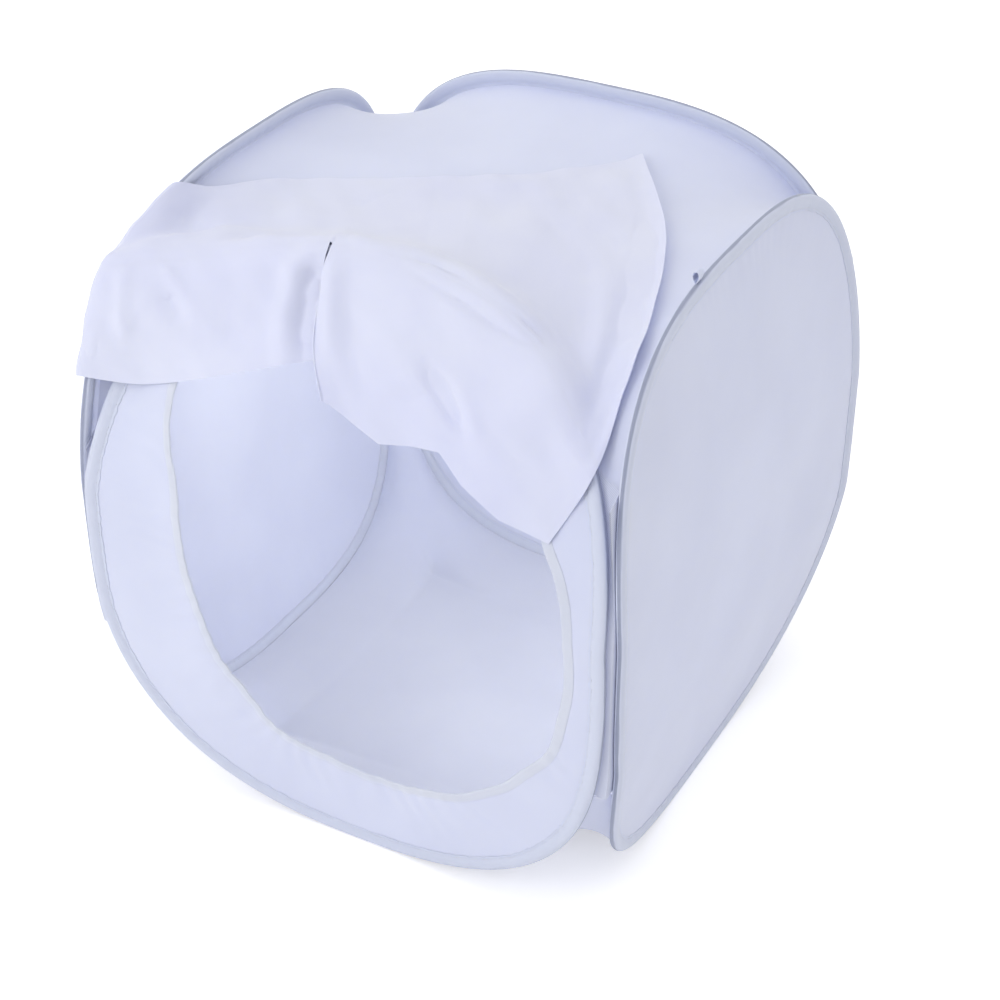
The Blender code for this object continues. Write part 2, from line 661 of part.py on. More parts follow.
def add_strip(name, near, thick, empties, look):
    """A hook or loop strip across the border's top, its near face that far outside the cloth."""
    high = crest_height(STRIP_LENGTH / 2) - SLEEVE_DEPTH - STRIP_BELOW_SLEEVE
    low = high - STRIP_WIDTH
    loops = []
    for u in (-STRIP_LENGTH / 2, STRIP_LENGTH / 2):
        corners = [(high, near), (high, near + thick), (low, near + thick), (low, near)]
        loops.append([wall_point(FRONT, u, z, -out) for z, out in corners])
    verts, faces = skin(loops, False)
    return add_to_wall(FRONT, empties, name, verts, faces, look)


def add_pull_tab(empties, look):
    """A folded loop of tape that stands on the right wall's sleeve near its top front."""
    middle = TAB_PLACE_SHARE * RING_HALF_WIDTH
    low = float(np.interp(middle, *upper_edge(RIGHT))) + TAB_CLEAR
    loops = []
    for u in (middle - TAB_WIDTH / 2, middle + TAB_WIDTH / 2):
        corners = [(low, -TAB_THICK / 2), (low, TAB_THICK / 2),
                   (low + TAB_HEIGHT, TAB_THICK / 2), (low + TAB_HEIGHT, -TAB_THICK / 2)]
        loops.append([wall_point(RIGHT, u, z, y) for z, y in corners])
    verts, faces = skin(loops, False)
    return add_to_wall(RIGHT, empties, "pull_tab", verts, faces, look)


def upper_edge(wall):
    """The ring's upper edge from left to right, as places and heights."""
    line = [spot for spot in ring_stations(wall)[0] if spot[1] > wall.widest]
    line.sort(key=lambda spot: spot[0])
    return [spot[0] for spot in line], [spot[1] for spot in line]


def main():
    clear_scene()
    cloth = material("white_cloth", WHITE_CLOTH, 0.85)
    tape = material("white_tape", TAPE_CLOTH, 0.8)
    steel = material("spring_steel", STEEL, 0.35, 1.0)
    crimp = material("ferrule_metal", FERRULE_METAL, 0.4, 1.0)
    empties = wall_empties()
    for wall in WALLS:
        add_band(wall, empties, steel)
        add_ferrule(wall, empties, crimp)
        add_sleeve(wall, empties, tape)
        add_leaves(wall, empties, tape)
        if wall is not FRONT:
            add_panel(wall, empties, cloth)
    add_border(empties, cloth)
    add_membrane("top_panel", True, cloth, empties["front"])
    add_membrane("floor_panel", False, cloth, empties["front"])
    add_strip("border_loop_tape", CLOTH / 2 + STRIP_CLEAR, LOOP_STRIP_THICK, empties, tape)
    hook_at = CLOTH / 2 + STRIP_CLEAR + LOOP_STRIP_THICK + STRIP_CLEAR
    add_strip("cover_hook_tape", hook_at, HOOK_STRIP_THICK, empties, tape)
    add_pull_tab(empties, tape)
    bpy.context.view_layer.update()
    add_cover(cloth, empties["front"])


main()
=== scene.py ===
"""The looks of a light tent cube: four sprung walls in sewn sleeves, a cloth top and floor, a bordered
front opening, and a loose front cover with a slit, thrown back over the top.

Metres, +Z up. The open front faces -Y. A wall's own frame has u to the right as seen from outside,
z up, and y into the tent from the wall's middle plane.
"""

import math
from collections import namedtuple

import bmesh
import bpy
import numpy as np
from mathutils import Matrix, Vector
from mathutils.bvhtree import BVHTree


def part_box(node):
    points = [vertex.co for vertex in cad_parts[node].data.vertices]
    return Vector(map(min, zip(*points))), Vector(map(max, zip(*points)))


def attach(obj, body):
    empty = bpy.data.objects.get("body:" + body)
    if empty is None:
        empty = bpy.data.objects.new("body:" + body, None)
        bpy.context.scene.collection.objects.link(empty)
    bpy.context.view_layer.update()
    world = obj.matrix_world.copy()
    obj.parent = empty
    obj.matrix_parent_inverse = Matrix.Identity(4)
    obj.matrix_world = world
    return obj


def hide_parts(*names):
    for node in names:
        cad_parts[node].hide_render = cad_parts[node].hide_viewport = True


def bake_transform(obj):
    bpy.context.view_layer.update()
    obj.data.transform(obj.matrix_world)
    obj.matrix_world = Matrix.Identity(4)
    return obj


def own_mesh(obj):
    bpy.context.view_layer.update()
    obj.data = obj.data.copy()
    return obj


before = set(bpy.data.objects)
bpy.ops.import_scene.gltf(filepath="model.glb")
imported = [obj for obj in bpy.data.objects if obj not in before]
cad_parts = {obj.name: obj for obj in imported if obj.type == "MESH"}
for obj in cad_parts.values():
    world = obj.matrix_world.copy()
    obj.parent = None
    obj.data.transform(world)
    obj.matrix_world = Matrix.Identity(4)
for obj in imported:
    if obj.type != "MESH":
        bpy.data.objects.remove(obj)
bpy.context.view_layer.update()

# The walls, as the frame has them
RING_HALF_WIDTH = 0.297
RING_HEIGHT = 0.646
SEAM = 0.300
MIDDLE_PLANE = 0.306
WAIST_LOW = 0.220
WAIST_HIGH = 0.360
BOW_POWER = 1.3
FLOOR_APEX = 0.190

Wall = namedtuple("Wall", "name turn widest squareness bow_top bow_bottom start_apex end_apex")

FRONT = Wall("front", 0.0, 0.305, 2.5, 0.122, 0.024, 0.400, 0.505)
RIGHT = Wall("right", 90.0, 0.323, 3.0, 0.032, 0.040, 0.505, 0.500)
BACK = Wall("back", 180.0, 0.323, 3.0, 0.032, 0.040, 0.500, 0.540)
LEFT = Wall("left", 270.0, 0.323, 3.0, 0.032, 0.040, 0.540, 0.400)
WALLS = [FRONT, RIGHT, BACK, LEFT]

CLOTH = 0.0008
THIN_CLOTH = 0.0006
MERGE = 0.000002
OUTLINE_STEPS = 1440
PICTURE = 1000


# Colours, nodes and finishes

def colour(hexed):
    """An sRGB hex colour as linear red, green, blue and alpha."""
    parts = [int(hexed[place:place + 2], 16) / 255 for place in (1, 3, 5)]
    straight = [part / 12.92 if part <= 0.04045 else ((part + 0.055) / 1.055) ** 2.4 for part in parts]
    return (*straight, 1.0)


def add_node(tree, kind, values=None, links=None, **settings):
    """A node with its settings, its input values and its input links."""
    made = tree.nodes.new(kind)
    for name, value in settings.items():
        setattr(made, name, value)
    for name, value in (values or {}).items():
        made.inputs[name].default_value = value
    for name, source in (links or {}).items():
        tree.links.new(source, made.inputs[name])
    return made


def new_finish(name, **constants):
    """A material with a Principled BSDF and its constant values."""
    made = bpy.data.materials.new(name)
    made.use_nodes = True
    shader = made.node_tree.nodes["Principled BSDF"]
    for label, value in constants.items():
        shader.inputs[label.replace("_", " ")].default_value = value
    return made, made.node_tree, shader


def two_tones(tree, shader, source, low, high, start=0.0, end=1.0):
    """Gives a shader a colour that goes from one tone to another between two values of a source."""
    ramp = add_node(tree, "ShaderNodeValToRGB", None, {"Fac": source})
    first, last = ramp.color_ramp.elements
    first.position, last.position = start, end
    first.color, last.color = colour(low), colour(high)
    tree.links.new(ramp.outputs["Color"], shader.inputs["Base Color"])


def roughen(tree, shader, height, strength, distance, invert=False):
    """Gives a shader the fine relief of a height."""
    bump = add_node(tree, "ShaderNodeBump", {"Strength": strength, "Distance": distance}, {"Height": height},
                    invert=invert)
    tree.links.new(bump.outputs["Normal"], shader.inputs["Normal"])


def seen_by(tree, *rays):
    """1 for rays of the named kinds, and 0 for others."""
    path = add_node(tree, "ShaderNodeLightPath")
    seen = path.outputs[rays[0]]
    for ray in rays[1:]:
        seen = add_node(tree, "ShaderNodeMath", None, {0: seen, 1: path.outputs[ray]},
                        operation="MAXIMUM").outputs[0]
    return seen


# Radians of wave in each unit along X or Y, in a wave texture of scale 1
WAVE_RATE = 20


def wave_scale(spacing):
    """The wave texture's scale for bands across X or Y that lie spacing apart."""
    return math.tau / (WAVE_RATE * spacing)


def thread_waves(tree, place, spacing):
    """The height of a plain weave: warp and weft as two crossed sets of waves."""
    both = [add_node(tree, "ShaderNodeTexWave", {"Scale": wave_scale(spacing)}, {"Vector": place},
                     bands_direction=way) for way in ("X", "Y")]
    return add_node(tree, "ShaderNodeMath", None, {0: both[0].outputs["Fac"], 1: both[1].outputs["Fac"]},
                    operation="MULTIPLY").outputs[0]


# A real taffeta has about 30 threads a centimetre. They are drawn three times as coarse, to show close by
THREAD = 0.0010
THREAD_RELIEF = 0.00012
MOTTLE = 0.14
EVEN_SCATTER = (1.0, 1.0, 1.0)


def taffeta(name, light, shade, spacing, rough, thin, scatter):
    """Uncoated white nylon taffeta, loosely woven: matt, faintly see-through, and a little uneven."""
    made, tree, shader = new_finish(name, Roughness=rough, IOR=1.5, Specular_IOR_Level=0.25,
                                    Sheen_Weight=0.12, Sheen_Roughness=0.5, Subsurface_Weight=thin,
                                    Subsurface_Scale=scatter)
    shader.inputs["Subsurface Radius"].default_value = EVEN_SCATTER
    where = add_node(tree, "ShaderNodeTexCoord")
    cloud = add_node(tree, "ShaderNodeTexNoise", {"Scale": 1 / MOTTLE, "Detail": 3.0},
                     {"Vector": where.outputs["Object"]})
    two_tones(tree, shader, cloud.outputs["Fac"], shade, light, 0.35, 0.65)
    roughen(tree, shader, thread_waves(tree, where.outputs["UV"], spacing), 0.25, THREAD_RELIEF)
    return made


WALL_CLOTH = taffeta("wall_nylon_taffeta", "#D9DDF0", "#D5D9EC", THREAD, 0.75, 0.9, 0.0012)
COVER_CLOTH = taffeta("cover_nylon_taffeta", "#E1E4F9", "#DDE0F6", THREAD, 0.7, 0.8, 0.0004)
# The hem is the wall taffeta folded double, its colour painted lighter to stand in for the light through the
# walls that the two layers stop
HEM_CLOTH_PAINTED_LIGHTER = taffeta("folded_hem_taffeta", "#DDE2F8", "#D9DEF4", THREAD, 0.75, 0.9, 0.0012)

# The steel band lies against the middle of the tape and shows through it as a grey line, which is also
# painted shade along the ring's outer edge
TAPE_WIDTH = 0.0400
BAND_AND_SHADE_REACH = 0.0026
BAND_AND_SHADE_GREY = 0.75
TAPE_PATCHES = 18.0


def sleeve_tape():
    """Folded nylon tape, close woven and ironed, with a grey line at its crown: partly the steel band showing
    through, partly painted shade.
    """
    made, tree, shader = new_finish("sleeve_nylon_tape", Roughness=0.65, IOR=1.5, Specular_IOR_Level=0.3,
                                    Sheen_Weight=0.1, Subsurface_Weight=0.6, Subsurface_Scale=0.0015)
    shader.inputs["Subsurface Radius"].default_value = EVEN_SCATTER
    where = add_node(tree, "ShaderNodeTexCoord")
    parts = add_node(tree, "ShaderNodeSeparateXYZ", None, {"Vector": where.outputs["UV"]})
    from_crown = add_node(tree, "ShaderNodeMath", {1: TAPE_WIDTH / 2}, {0: parts.outputs["Y"]},
                          operation="SUBTRACT")
    apart = add_node(tree, "ShaderNodeMath", None, {0: from_crown.outputs[0]}, operation="ABSOLUTE")
    patches = add_node(tree, "ShaderNodeTexNoise", {"Scale": TAPE_PATCHES, "Detail": 2.0},
                       {"Vector": where.outputs["Object"]})
    reach = add_node(tree, "ShaderNodeMapRange", {1: 0.3, 2: 0.7, 3: BAND_AND_SHADE_REACH * 0.5, 4: BAND_AND_SHADE_REACH * 1.2},
                     {0: patches.outputs["Fac"]})
    near = add_node(tree, "ShaderNodeMapRange", {1: BAND_AND_SHADE_REACH * 0.4, 3: BAND_AND_SHADE_GREY, 4: 0.0},
                    {0: apart.outputs[0], 2: reach.outputs[0]})
    # The crown's grey: the steel band showing through, and painted shade along the ring's outer edge
    mixed = add_node(tree, "ShaderNodeMix", None, {"Factor": near.outputs[0]}, data_type="RGBA")
    mixed.inputs[6].default_value = colour("#D5DBF3")
    mixed.inputs[7].default_value = colour("#858BA2")
    tree.links.new(mixed.outputs[2], shader.inputs["Base Color"])
    roughen(tree, shader, thread_waves(tree, where.outputs["UV"], THREAD * 0.8), 0.3, THREAD_RELIEF)
    return made


TAPE = sleeve_tape()


def corner_tape():
    """Plain cotton twill tape: matt, with fine slanting ribs and painted shade in the grooves between them.
    """
    made, tree, shader = new_finish("corner_cotton_twill", Roughness=0.85, IOR=1.5, Specular_IOR_Level=0.2,
                                    Sheen_Weight=0.15)
    where = add_node(tree, "ShaderNodeTexCoord")
    ribs = add_node(tree, "ShaderNodeTexWave", {"Scale": wave_scale(THREAD)},
                    {"Vector": where.outputs["UV"]}, bands_direction="DIAGONAL")
    # Painted shade: darker in the grooves between the ribs
    two_tones(tree, shader, ribs.outputs["Fac"], "#CDD2E6", "#DCE0F2")
    roughen(tree, shader, ribs.outputs["Fac"], 0.4, 0.0002)
    return made


TWILL = corner_tape()


def metal(name, bright, dull, rough, grain):
    """A drawn metal with slight, uneven tarnish."""
    made, tree, shader = new_finish(name, Metallic=1.0)
    where = add_node(tree, "ShaderNodeTexCoord")
    tarnish = add_node(tree, "ShaderNodeTexNoise", {"Scale": 1 / grain, "Detail": 5.0},
                       {"Vector": where.outputs["Object"]})
    two_tones(tree, shader, tarnish.outputs["Fac"], dull, bright, 0.35, 0.6)
    spread = add_node(tree, "ShaderNodeMapRange", {3: rough - 0.08, 4: rough + 0.12},
                      {0: tarnish.outputs["Fac"]})
    tree.links.new(spread.outputs[0], shader.inputs["Roughness"])
    return made


STEEL = metal("oiled_spring_steel", "#8F9298", "#6B6E74", 0.35, 0.004)
CRIMP = metal("zinc_plated_crimp", "#B9BCC0", "#9A9DA2", 0.4, 0.002)


def plain_thread():
    """Spun polyester sewing thread, white and slightly glossy."""
    made, tree, shader = new_finish("white_polyester_thread", Roughness=0.5, IOR=1.5)
    where = add_node(tree, "ShaderNodeTexCoord")
    twist = add_node(tree, "ShaderNodeTexNoise", {"Scale": 2500.0}, {"Vector": where.outputs["Object"]})
    two_tones(tree, shader, twist.outputs["Fac"], "#C6CBE0", "#E6E9F6")
    return made


THREAD_FINISH = plain_thread()


def hook_and_loop():
    """White nylon hook-and-loop: a dense field of small hooks or loops that scatter the light, with painted
    shade between them.
    """
    made, tree, shader = new_finish("white_hook_and_loop", Roughness=0.9, IOR=1.5, Sheen_Weight=0.3)
    where = add_node(tree, "ShaderNodeTexCoord")
    tufts = add_node(tree, "ShaderNodeTexVoronoi", {"Scale": 900.0}, {"Vector": where.outputs["Object"]})
    # Painted shade: darker between the tufts, where the relief is low
    two_tones(tree, shader, tufts.outputs["Distance"], "#E2E5F2", "#B7BCCF")
    roughen(tree, shader, tufts.outputs["Distance"], 0.6, 0.0004, invert=True)
    return made


HOOK_AND_LOOP = hook_and_loop()


# Shapes of the walls

def bow(wall, z):
    """How far the wall's cloth and ring stand into the tent at a height."""
    above = np.maximum(0.0, (z - WAIST_HIGH) / (RING_HEIGHT - WAIST_HIGH))
    below = np.maximum(0.0, (WAIST_LOW - z) / WAIST_LOW)
    return wall.bow_top * above ** BOW_POWER + wall.bow_bottom * below ** BOW_POWER


def ring_edge(wall):
    """The ring's outer edge, evenly spaced, from the bottom centre towards +u: u, z and the inward way."""
    angle = np.linspace(0.0, math.tau, OUTLINE_STEPS * 2 + 1)
    side, rise = np.sin(angle), -np.cos(angle)
    power = 2.0 / wall.squareness
    u = np.sign(side) * np.abs(side) ** power * RING_HALF_WIDTH
    lift = np.sign(rise) * np.abs(rise) ** power
    z = wall.widest + lift * np.where(lift > 0.0, RING_HEIGHT - wall.widest, wall.widest)
    run = np.concatenate([[0.0], np.cumsum(np.hypot(np.diff(u), np.diff(z)))])
    even = np.linspace(0.0, run[-1], OUTLINE_STEPS + 1)
    u, z = np.interp(even, run, u), np.interp(even, run, z)
    ahead = 4
    closed_u, closed_z = np.concatenate([u[:-1]] * 3), np.concatenate([z[:-1]] * 3)
    here = np.arange(OUTLINE_STEPS, 2 * OUTLINE_STEPS + 1)
    along = np.stack([closed_u[here + ahead] - closed_u[here - ahead],
                      closed_z[here + ahead] - closed_z[here - ahead]])
    along /= np.linalg.norm(along, axis=0)
    return u, z, -along[1], along[0], run[-1]


EDGES = {wall.name: ring_edge(wall) for wall in WALLS}


def edge_point(wall, share, depth):
    """Points that lie depth inside the ring's outer edge, at shares of the way round."""
    u, z, into_u, into_z, _ = EDGES[wall.name]
    places = np.linspace(0.0, 1.0, OUTLINE_STEPS + 1)
    share = np.mod(share, 1.0 + 1e-12)
    here = [np.interp(share, places, line) for line in (u, z, into_u, into_z)]
    return here[0] + here[2] * depth, here[1] + here[3] * depth


def to_tent(wall, u, z, y):
    """Points of a wall, y from its bowed cloth, in the tent's frame."""
    u, z, y = np.broadcast_arrays(u, z, y)
    out = bow(wall, z) + y - MIDDLE_PLANE
    turn = math.radians(wall.turn)
    return np.stack([u * math.cos(turn) - out * math.sin(turn),
                     u * math.sin(turn) + out * math.cos(turn), z], 1)


RIPPLE_WAVES = 6
RIPPLE_LENGTHS = (0.7, 1.6)


def ripple(x, y, size, seed):
    """Smooth unevenness between about -1 and 1, with bumps of about the given size."""
    draw = np.random.default_rng(seed)
    total = 0.0
    for _ in range(RIPPLE_WAVES):
        way, phase = draw.uniform(0.0, math.tau, 2)
        length = size * draw.uniform(*RIPPLE_LENGTHS)
        total = total + np.sin((x * math.cos(way) + y * math.sin(way)) * math.tau / length + phase)
    return total / (RIPPLE_WAVES / 2)


def finished(name, build, look):
    """A smooth object at the origin from a bmesh, sharp along its open edges."""
    bmesh.ops.remove_doubles(build, verts=build.verts[:], dist=MERGE)
    bmesh.ops.recalc_face_normals(build, faces=build.faces[:])
    for face in build.faces:
        face.smooth = True
    for edge in build.edges:
        edge.smooth = not edge.is_boundary
    mesh = bpy.data.meshes.new(name)
    build.to_mesh(mesh)
    build.free()
    mesh.materials.append(look)
    made = bpy.data.objects.new(name, mesh)
    bpy.context.scene.collection.objects.link(made)
    return made


def cloth_grid(name, columns, rows, place, flat, look, thick=CLOTH):
    """A grid of cloth laid in place by a function of two shares. Its UV map is in metres."""
    build = bmesh.new()
    uv = build.loops.layers.uv.new("Cloth")
    bmesh.ops.create_grid(build, x_segments=columns, y_segments=rows, size=0.5, calc_uvs=True)
    shares = np.array([vert.co[:2] for vert in build.verts]) + 0.5
    for face in build.faces:
        for loop in face.loops:
            loop[uv].uv = (loop[uv].uv.x * flat[0], loop[uv].uv.y * flat[1])
    for vert, point in zip(build.verts, place(shares[:, 0], shares[:, 1])):
        vert.co = point
    made = finished(name, build, look)
    if thick:
        solid = made.modifiers.new("cloth", "SOLIDIFY")
        solid.thickness = thick
        solid.offset = 0.0
    return made


def on_wall(made, wall):
    """Rides a piece on its wall."""
    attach(made, wall.name + "_wall")
    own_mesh(made)
    return made


# Sleeves: depth inside the ring's edge and half width, from the crown to the tape's free edge
SLEEVE_PLACES = [0.0, 0.10, 0.22, 0.40, 0.60, 0.76, 0.83, 0.90, 1.0]
SLEEVE_DEPTHS = [0.0002, 0.0006, 0.0026, 0.0060, 0.0098, 0.0128, 0.0138, 0.0150, 0.0166]
SLEEVE_HALVES = [0.0, 0.0024, 0.0038, 0.0041, 0.0032, 0.0017, 0.0010, 0.0009, 0.0008]
SLEEVE_COLUMNS = 640
SLEEVE_ROWS = 30
PUCKER = 0.0003
PUCKER_SIZE = 0.016
FINE_PUCKER_SIZE = 0.007
FINE_PUCKER_SHARE = 0.7
RIM_WAVER = 0.0007
LEAST_HALF = 0.0008
# Puckers along a ring are drawn on a circle of this radius, so that they meet at its ends
PUCKER_CIRCLE = 0.37
STITCH_DEPTH = 0.0138
STITCH_HALF = 0.0013
STITCH_LENGTH = 0.0024
STITCH_STEP = 0.0036
STITCH_WIDE = 0.0004


def sleeve_points(wall, along, across):
    """Points of the tape that is folded round the ring, puckered towards its stitches."""
    side = across * 2.0 - 1.0
    apart = np.abs(side)
    depth = np.interp(apart, SLEEVE_PLACES, SLEEVE_DEPTHS)
    half = np.interp(apart, SLEEVE_PLACES, SLEEVE_HALVES)
    around = math.tau * along
    x, y = np.cos(around) * PUCKER_CIRCLE, np.sin(around) * PUCKER_CIRCLE
    loose = ripple(x, y, PUCKER_SIZE, 11 + len(wall.name))
    fine = ripple(x + side * 0.004, y, FINE_PUCKER_SIZE, 23)
    gather = np.clip((apart - 0.25) / 0.5, 0.0, 1.0)
    fade = np.clip((1.1 - apart) / 0.3, 0.0, 1.0)
    half = half + PUCKER * (loose + FINE_PUCKER_SHARE * fine) * gather * fade
    half = np.maximum(half, LEAST_HALF * np.clip(apart / 0.1, 0.0, 1.0))
    depth = depth + RIM_WAVER * loose * np.clip((apart - 0.85) / 0.15, 0.0, 1.0)
    u, z = edge_point(wall, along, depth)
    return to_tent(wall, u, z, np.sign(side) * half)


def make_sleeve(wall):
    made = cloth_grid(wall.name + "_sewn_sleeve", SLEEVE_COLUMNS, SLEEVE_ROWS,
                      lambda a, b: sleeve_points(wall, a, b), (EDGES[wall.name][4], TAPE_WIDTH), TAPE,
                      THIN_CLOTH)
    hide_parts(wall.name + "_sleeve")
    return on_wall(made, wall)


def make_stitches(wall):
    """The lock stitches along the sleeve, on both of its faces."""
    build = bmesh.new()
    length = EDGES[wall.name][4]
    count = int(length / STITCH_STEP)
    shares = np.arange(count) / count
    half_reach = STITCH_LENGTH / 2 / length
    for side in (-1.0, 1.0):
        ends = [to_tent(wall, *edge_point(wall, shares + reach, STITCH_DEPTH), side * STITCH_HALF)
                for reach in (-half_reach, half_reach)]
        for start, end in zip(*ends):
            start, end = Vector(start), Vector(end)
            lying = (end - start).to_track_quat("X", "Z").to_matrix().to_4x4()
            size = Matrix.Diagonal((STITCH_LENGTH, STITCH_WIDE, STITCH_WIDE, 1.0))
            middle = Matrix.Translation((start + end) / 2)
            bmesh.ops.create_cube(build, size=1.0, matrix=middle @ lying @ size)
    made = finished(wall.name + "_sleeve_stitches", build, THREAD_FINISH)
    return on_wall(made, wall)


# The steel band in the sleeve
BAND_DEPTH = 0.0010
BAND_WIDTH = 0.0040
BAND_AT = 0.0025
BAND_ROUND = 0.00025
BAND_COLUMNS = 360
BAND_ROWS = 8


def make_band(wall):
    """The ring's steel band, a flat section with chamfered corners."""
    corners = []
    for side_d, side_y in ((-1, -1), (-1, 1), (1, 1), (1, -1)):
        depth, y = BAND_AT + side_d * BAND_DEPTH / 2, side_y * BAND_WIDTH / 2
        first = (depth - side_d * BAND_ROUND, y) if side_d == side_y else (depth, y - side_y * BAND_ROUND)
        second = (depth, y - side_y * BAND_ROUND) if side_d == side_y else (depth - side_d * BAND_ROUND, y)
        corners += [first, second]
    corners = np.array(corners + corners[:1])
    places = np.linspace(0.0, 1.0, len(corners))

    def place(along, across):
        depth = np.interp(across, places, corners[:, 0])
        y = np.interp(across, places, corners[:, 1])
        return to_tent(wall, *edge_point(wall, along, depth), y)

    around = 2 * (BAND_DEPTH + BAND_WIDTH)
    made = cloth_grid(wall.name + "_steel_band", BAND_COLUMNS, BAND_ROWS, place,
                      (EDGES[wall.name][4], around), STEEL, None)
    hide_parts(wall.name + "_ring")
    return on_wall(made, wall)


# The three plain walls
PANEL_EDGE = 0.0135
PANEL_STEPS = 110
PANEL_SLACK = 0.0010
PANEL_PUCKER = 0.0005
PUCKER_REACH = 0.030
SLACK_SIZE = 0.22
SLACK_ROOT = 0.05
TUG_LENGTH = 0.019
TUG_WANDER_SIZE = 0.09
TUG_PATCH = 0.21
TUG_ROOT = 0.006


def around_square(a, b):
    """The share of the way round a square at which a ray through a point leaves it, and how far out it is."""
    reach = np.maximum(np.maximum(np.abs(a), np.abs(b)), 1e-9)
    x, y = a / reach, b / reach
    share = np.where(y <= -1.0 + 1e-9, x,
                     np.where(x >= 1.0 - 1e-9, 2.0 + y,
                              np.where(y >= 1.0 - 1e-9, 4.0 - x, 6.0 - y)))
    return np.mod(share / 8.0, 1.0), reach


def panel_points(wall, a, b):
    share, reach = around_square(a * 2.0 - 1.0, b * 2.0 - 1.0)
    edge_u, edge_z = edge_point(wall, share, PANEL_EDGE)
    middle_z = wall.widest
    u, z = edge_u * reach, middle_z + (edge_z - middle_z) * reach
    from_edge = (1.0 - reach) * RING_HALF_WIDTH
    seed = len(wall.name)
    slack = PANEL_SLACK * ripple(u, z, SLACK_SIZE, seed) * np.clip(from_edge / SLACK_ROOT, 0.0, 1.0)
    run = share * EDGES[wall.name][4]
    tug = np.sin(run * math.tau / TUG_LENGTH + 2.0 * ripple(u, z, TUG_WANDER_SIZE, seed + 5))
    fade = np.exp(-from_edge / PUCKER_REACH) * (0.5 + 0.5 * ripple(run, 0.0 * run, TUG_PATCH, seed + 9))
    rooted = np.clip(from_edge / TUG_ROOT, 0.0, 1.0)
    return to_tent(wall, u, z, (slack + PANEL_PUCKER * tug * fade) * rooted)


def make_panel(wall):
    made = cloth_grid(wall.name + "_taffeta_wall", PANEL_STEPS, PANEL_STEPS,
                      lambda a, b: panel_points(wall, a, b), (0.570, 0.620), WALL_CLOTH)
    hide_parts(wall.name + "_panel")
    return on_wall(made, wall)


# The border round the front opening
OPENING_X = 0.0300
OPENING_Z = 0.3300
OPENING_LINE = [(-0.200, 0.484), (-0.196, 0.440), (-0.186, 0.395), (-0.177, 0.345), (-0.172, 0.290),
                (-0.155, 0.235), (-0.125, 0.178), (-0.080, 0.130), (-0.018, 0.111), (0.055, 0.109),
                (0.120, 0.122), (0.165, 0.148), (0.205, 0.188), (0.238, 0.236), (0.252, 0.296),
                (0.252, 0.356), (0.240, 0.410), (0.214, 0.452), (0.170, 0.500), (0.112, 0.538),
                (0.045, 0.558), (-0.030, 0.567), (-0.105, 0.562), (-0.160, 0.546), (-0.190, 0.520)]
OPENING_STEPS = 721
BORDER_COLUMNS = 480
BORDER_ROWS = 40
EDGE_WAVER = 0.0016
EDGE_WAVER_SIZE = 0.075
BORDER_SLACK = 0.0022
BORDER_SLACK_SIZE = 0.12
BORDER_FOLD = 0.0008
BORDER_FOLD_COUNT = 58
BORDER_WANDER = 2.5
BORDER_WANDER_SIZE = 0.10
BORDER_PATCH = 0.15
HEM_WIDTH = 0.0100
HEM_THICK = 0.0009
HEM_ACROSS = 14
# The hem's section: how far it stands out, and how far in it reaches, by place across it
HEM_OUT_PLACES = [0.0, 0.08, 0.42, 0.5, 0.58, 0.92, 1.0]
HEM_OUT = [0.6, 0.8, 0.9, 0.0, -0.9, -0.8, -0.6]
HEM_IN_PLACES = [0.0, 0.42, 0.5, 0.58, 1.0]
HEM_IN = [1.0, 0.08, 0.0, 0.08, 1.0]


def smooth_line(points, shares, closed=False):
    """A smooth line through points, at shares of the way along it."""
    points = np.array(points, dtype=float)
    if closed:
        points = np.concatenate([points, points[:1]])
        ends = points[-2], points[1]
    else:
        ends = 2 * points[0] - points[1], 2 * points[-1] - points[-2]
    padded = np.concatenate([ends[0][None], points, ends[1][None]])
    place = np.clip(shares, 0.0, 1.0) * (len(points) - 1)
    index = np.minimum(place.astype(int), len(points) - 2)
    t = (place - index).reshape(-1, *[1] * (points.ndim - 1))
    p0, p1, p2, p3 = [padded[index + step] for step in range(4)]
    return 0.5 * (2 * p1 + (p2 - p0) * t + (2 * p0 - 5 * p1 + 4 * p2 - p3) * t ** 2
                  + (3 * p1 - p0 - 3 * p2 + p3) * t ** 3)


OPENING_EDGE = smooth_line(OPENING_LINE, np.linspace(0.0, 1.0, OPENING_STEPS), True) - [OPENING_X, OPENING_Z]


def opening_edge(u, z):
    """The opening's edge in the direction of a point of the front wall, from the opening's centre."""
    way = np.unwrap(np.arctan2(OPENING_EDGE[:, 1], OPENING_EDGE[:, 0]))
    far = np.hypot(OPENING_EDGE[:, 0], OPENING_EDGE[:, 1])
    angle = way[0] + np.mod(np.arctan2(z - OPENING_Z, u - OPENING_X) - way[0], math.tau)
    reach = np.interp(angle, way, far)
    return OPENING_X + np.cos(angle) * reach, OPENING_Z + np.sin(angle) * reach


def border_points(along, across):
    edge_u, edge_z = edge_point(FRONT, along, PANEL_EDGE)
    hole_u, hole_z = opening_edge(edge_u, edge_z)
    width = np.hypot(hole_u - edge_u, hole_z - edge_z)
    waver = EDGE_WAVER * ripple(hole_u, hole_z, EDGE_WAVER_SIZE, 31)
    share = across * (1.0 + waver / width)
    u, z = edge_u + (hole_u - edge_u) * share, edge_z + (hole_z - edge_z) * share
    slack = BORDER_SLACK * ripple(u, z, BORDER_SLACK_SIZE, 41) * across
    wander = BORDER_WANDER * ripple(u, z, BORDER_WANDER_SIZE, 43)
    tug = np.sin(along * math.tau * BORDER_FOLD_COUNT + wander)
    folds = BORDER_FOLD * tug * across * (0.6 + 0.4 * ripple(u, z, BORDER_PATCH, 47))
    return to_tent(FRONT, u, z, slack + folds)


def make_border():
    made = cloth_grid("front_border_cloth", BORDER_COLUMNS, BORDER_ROWS, border_points, (1.9, 0.1),
                      WALL_CLOTH)
    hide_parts("front_border")
    return on_wall(made, FRONT)


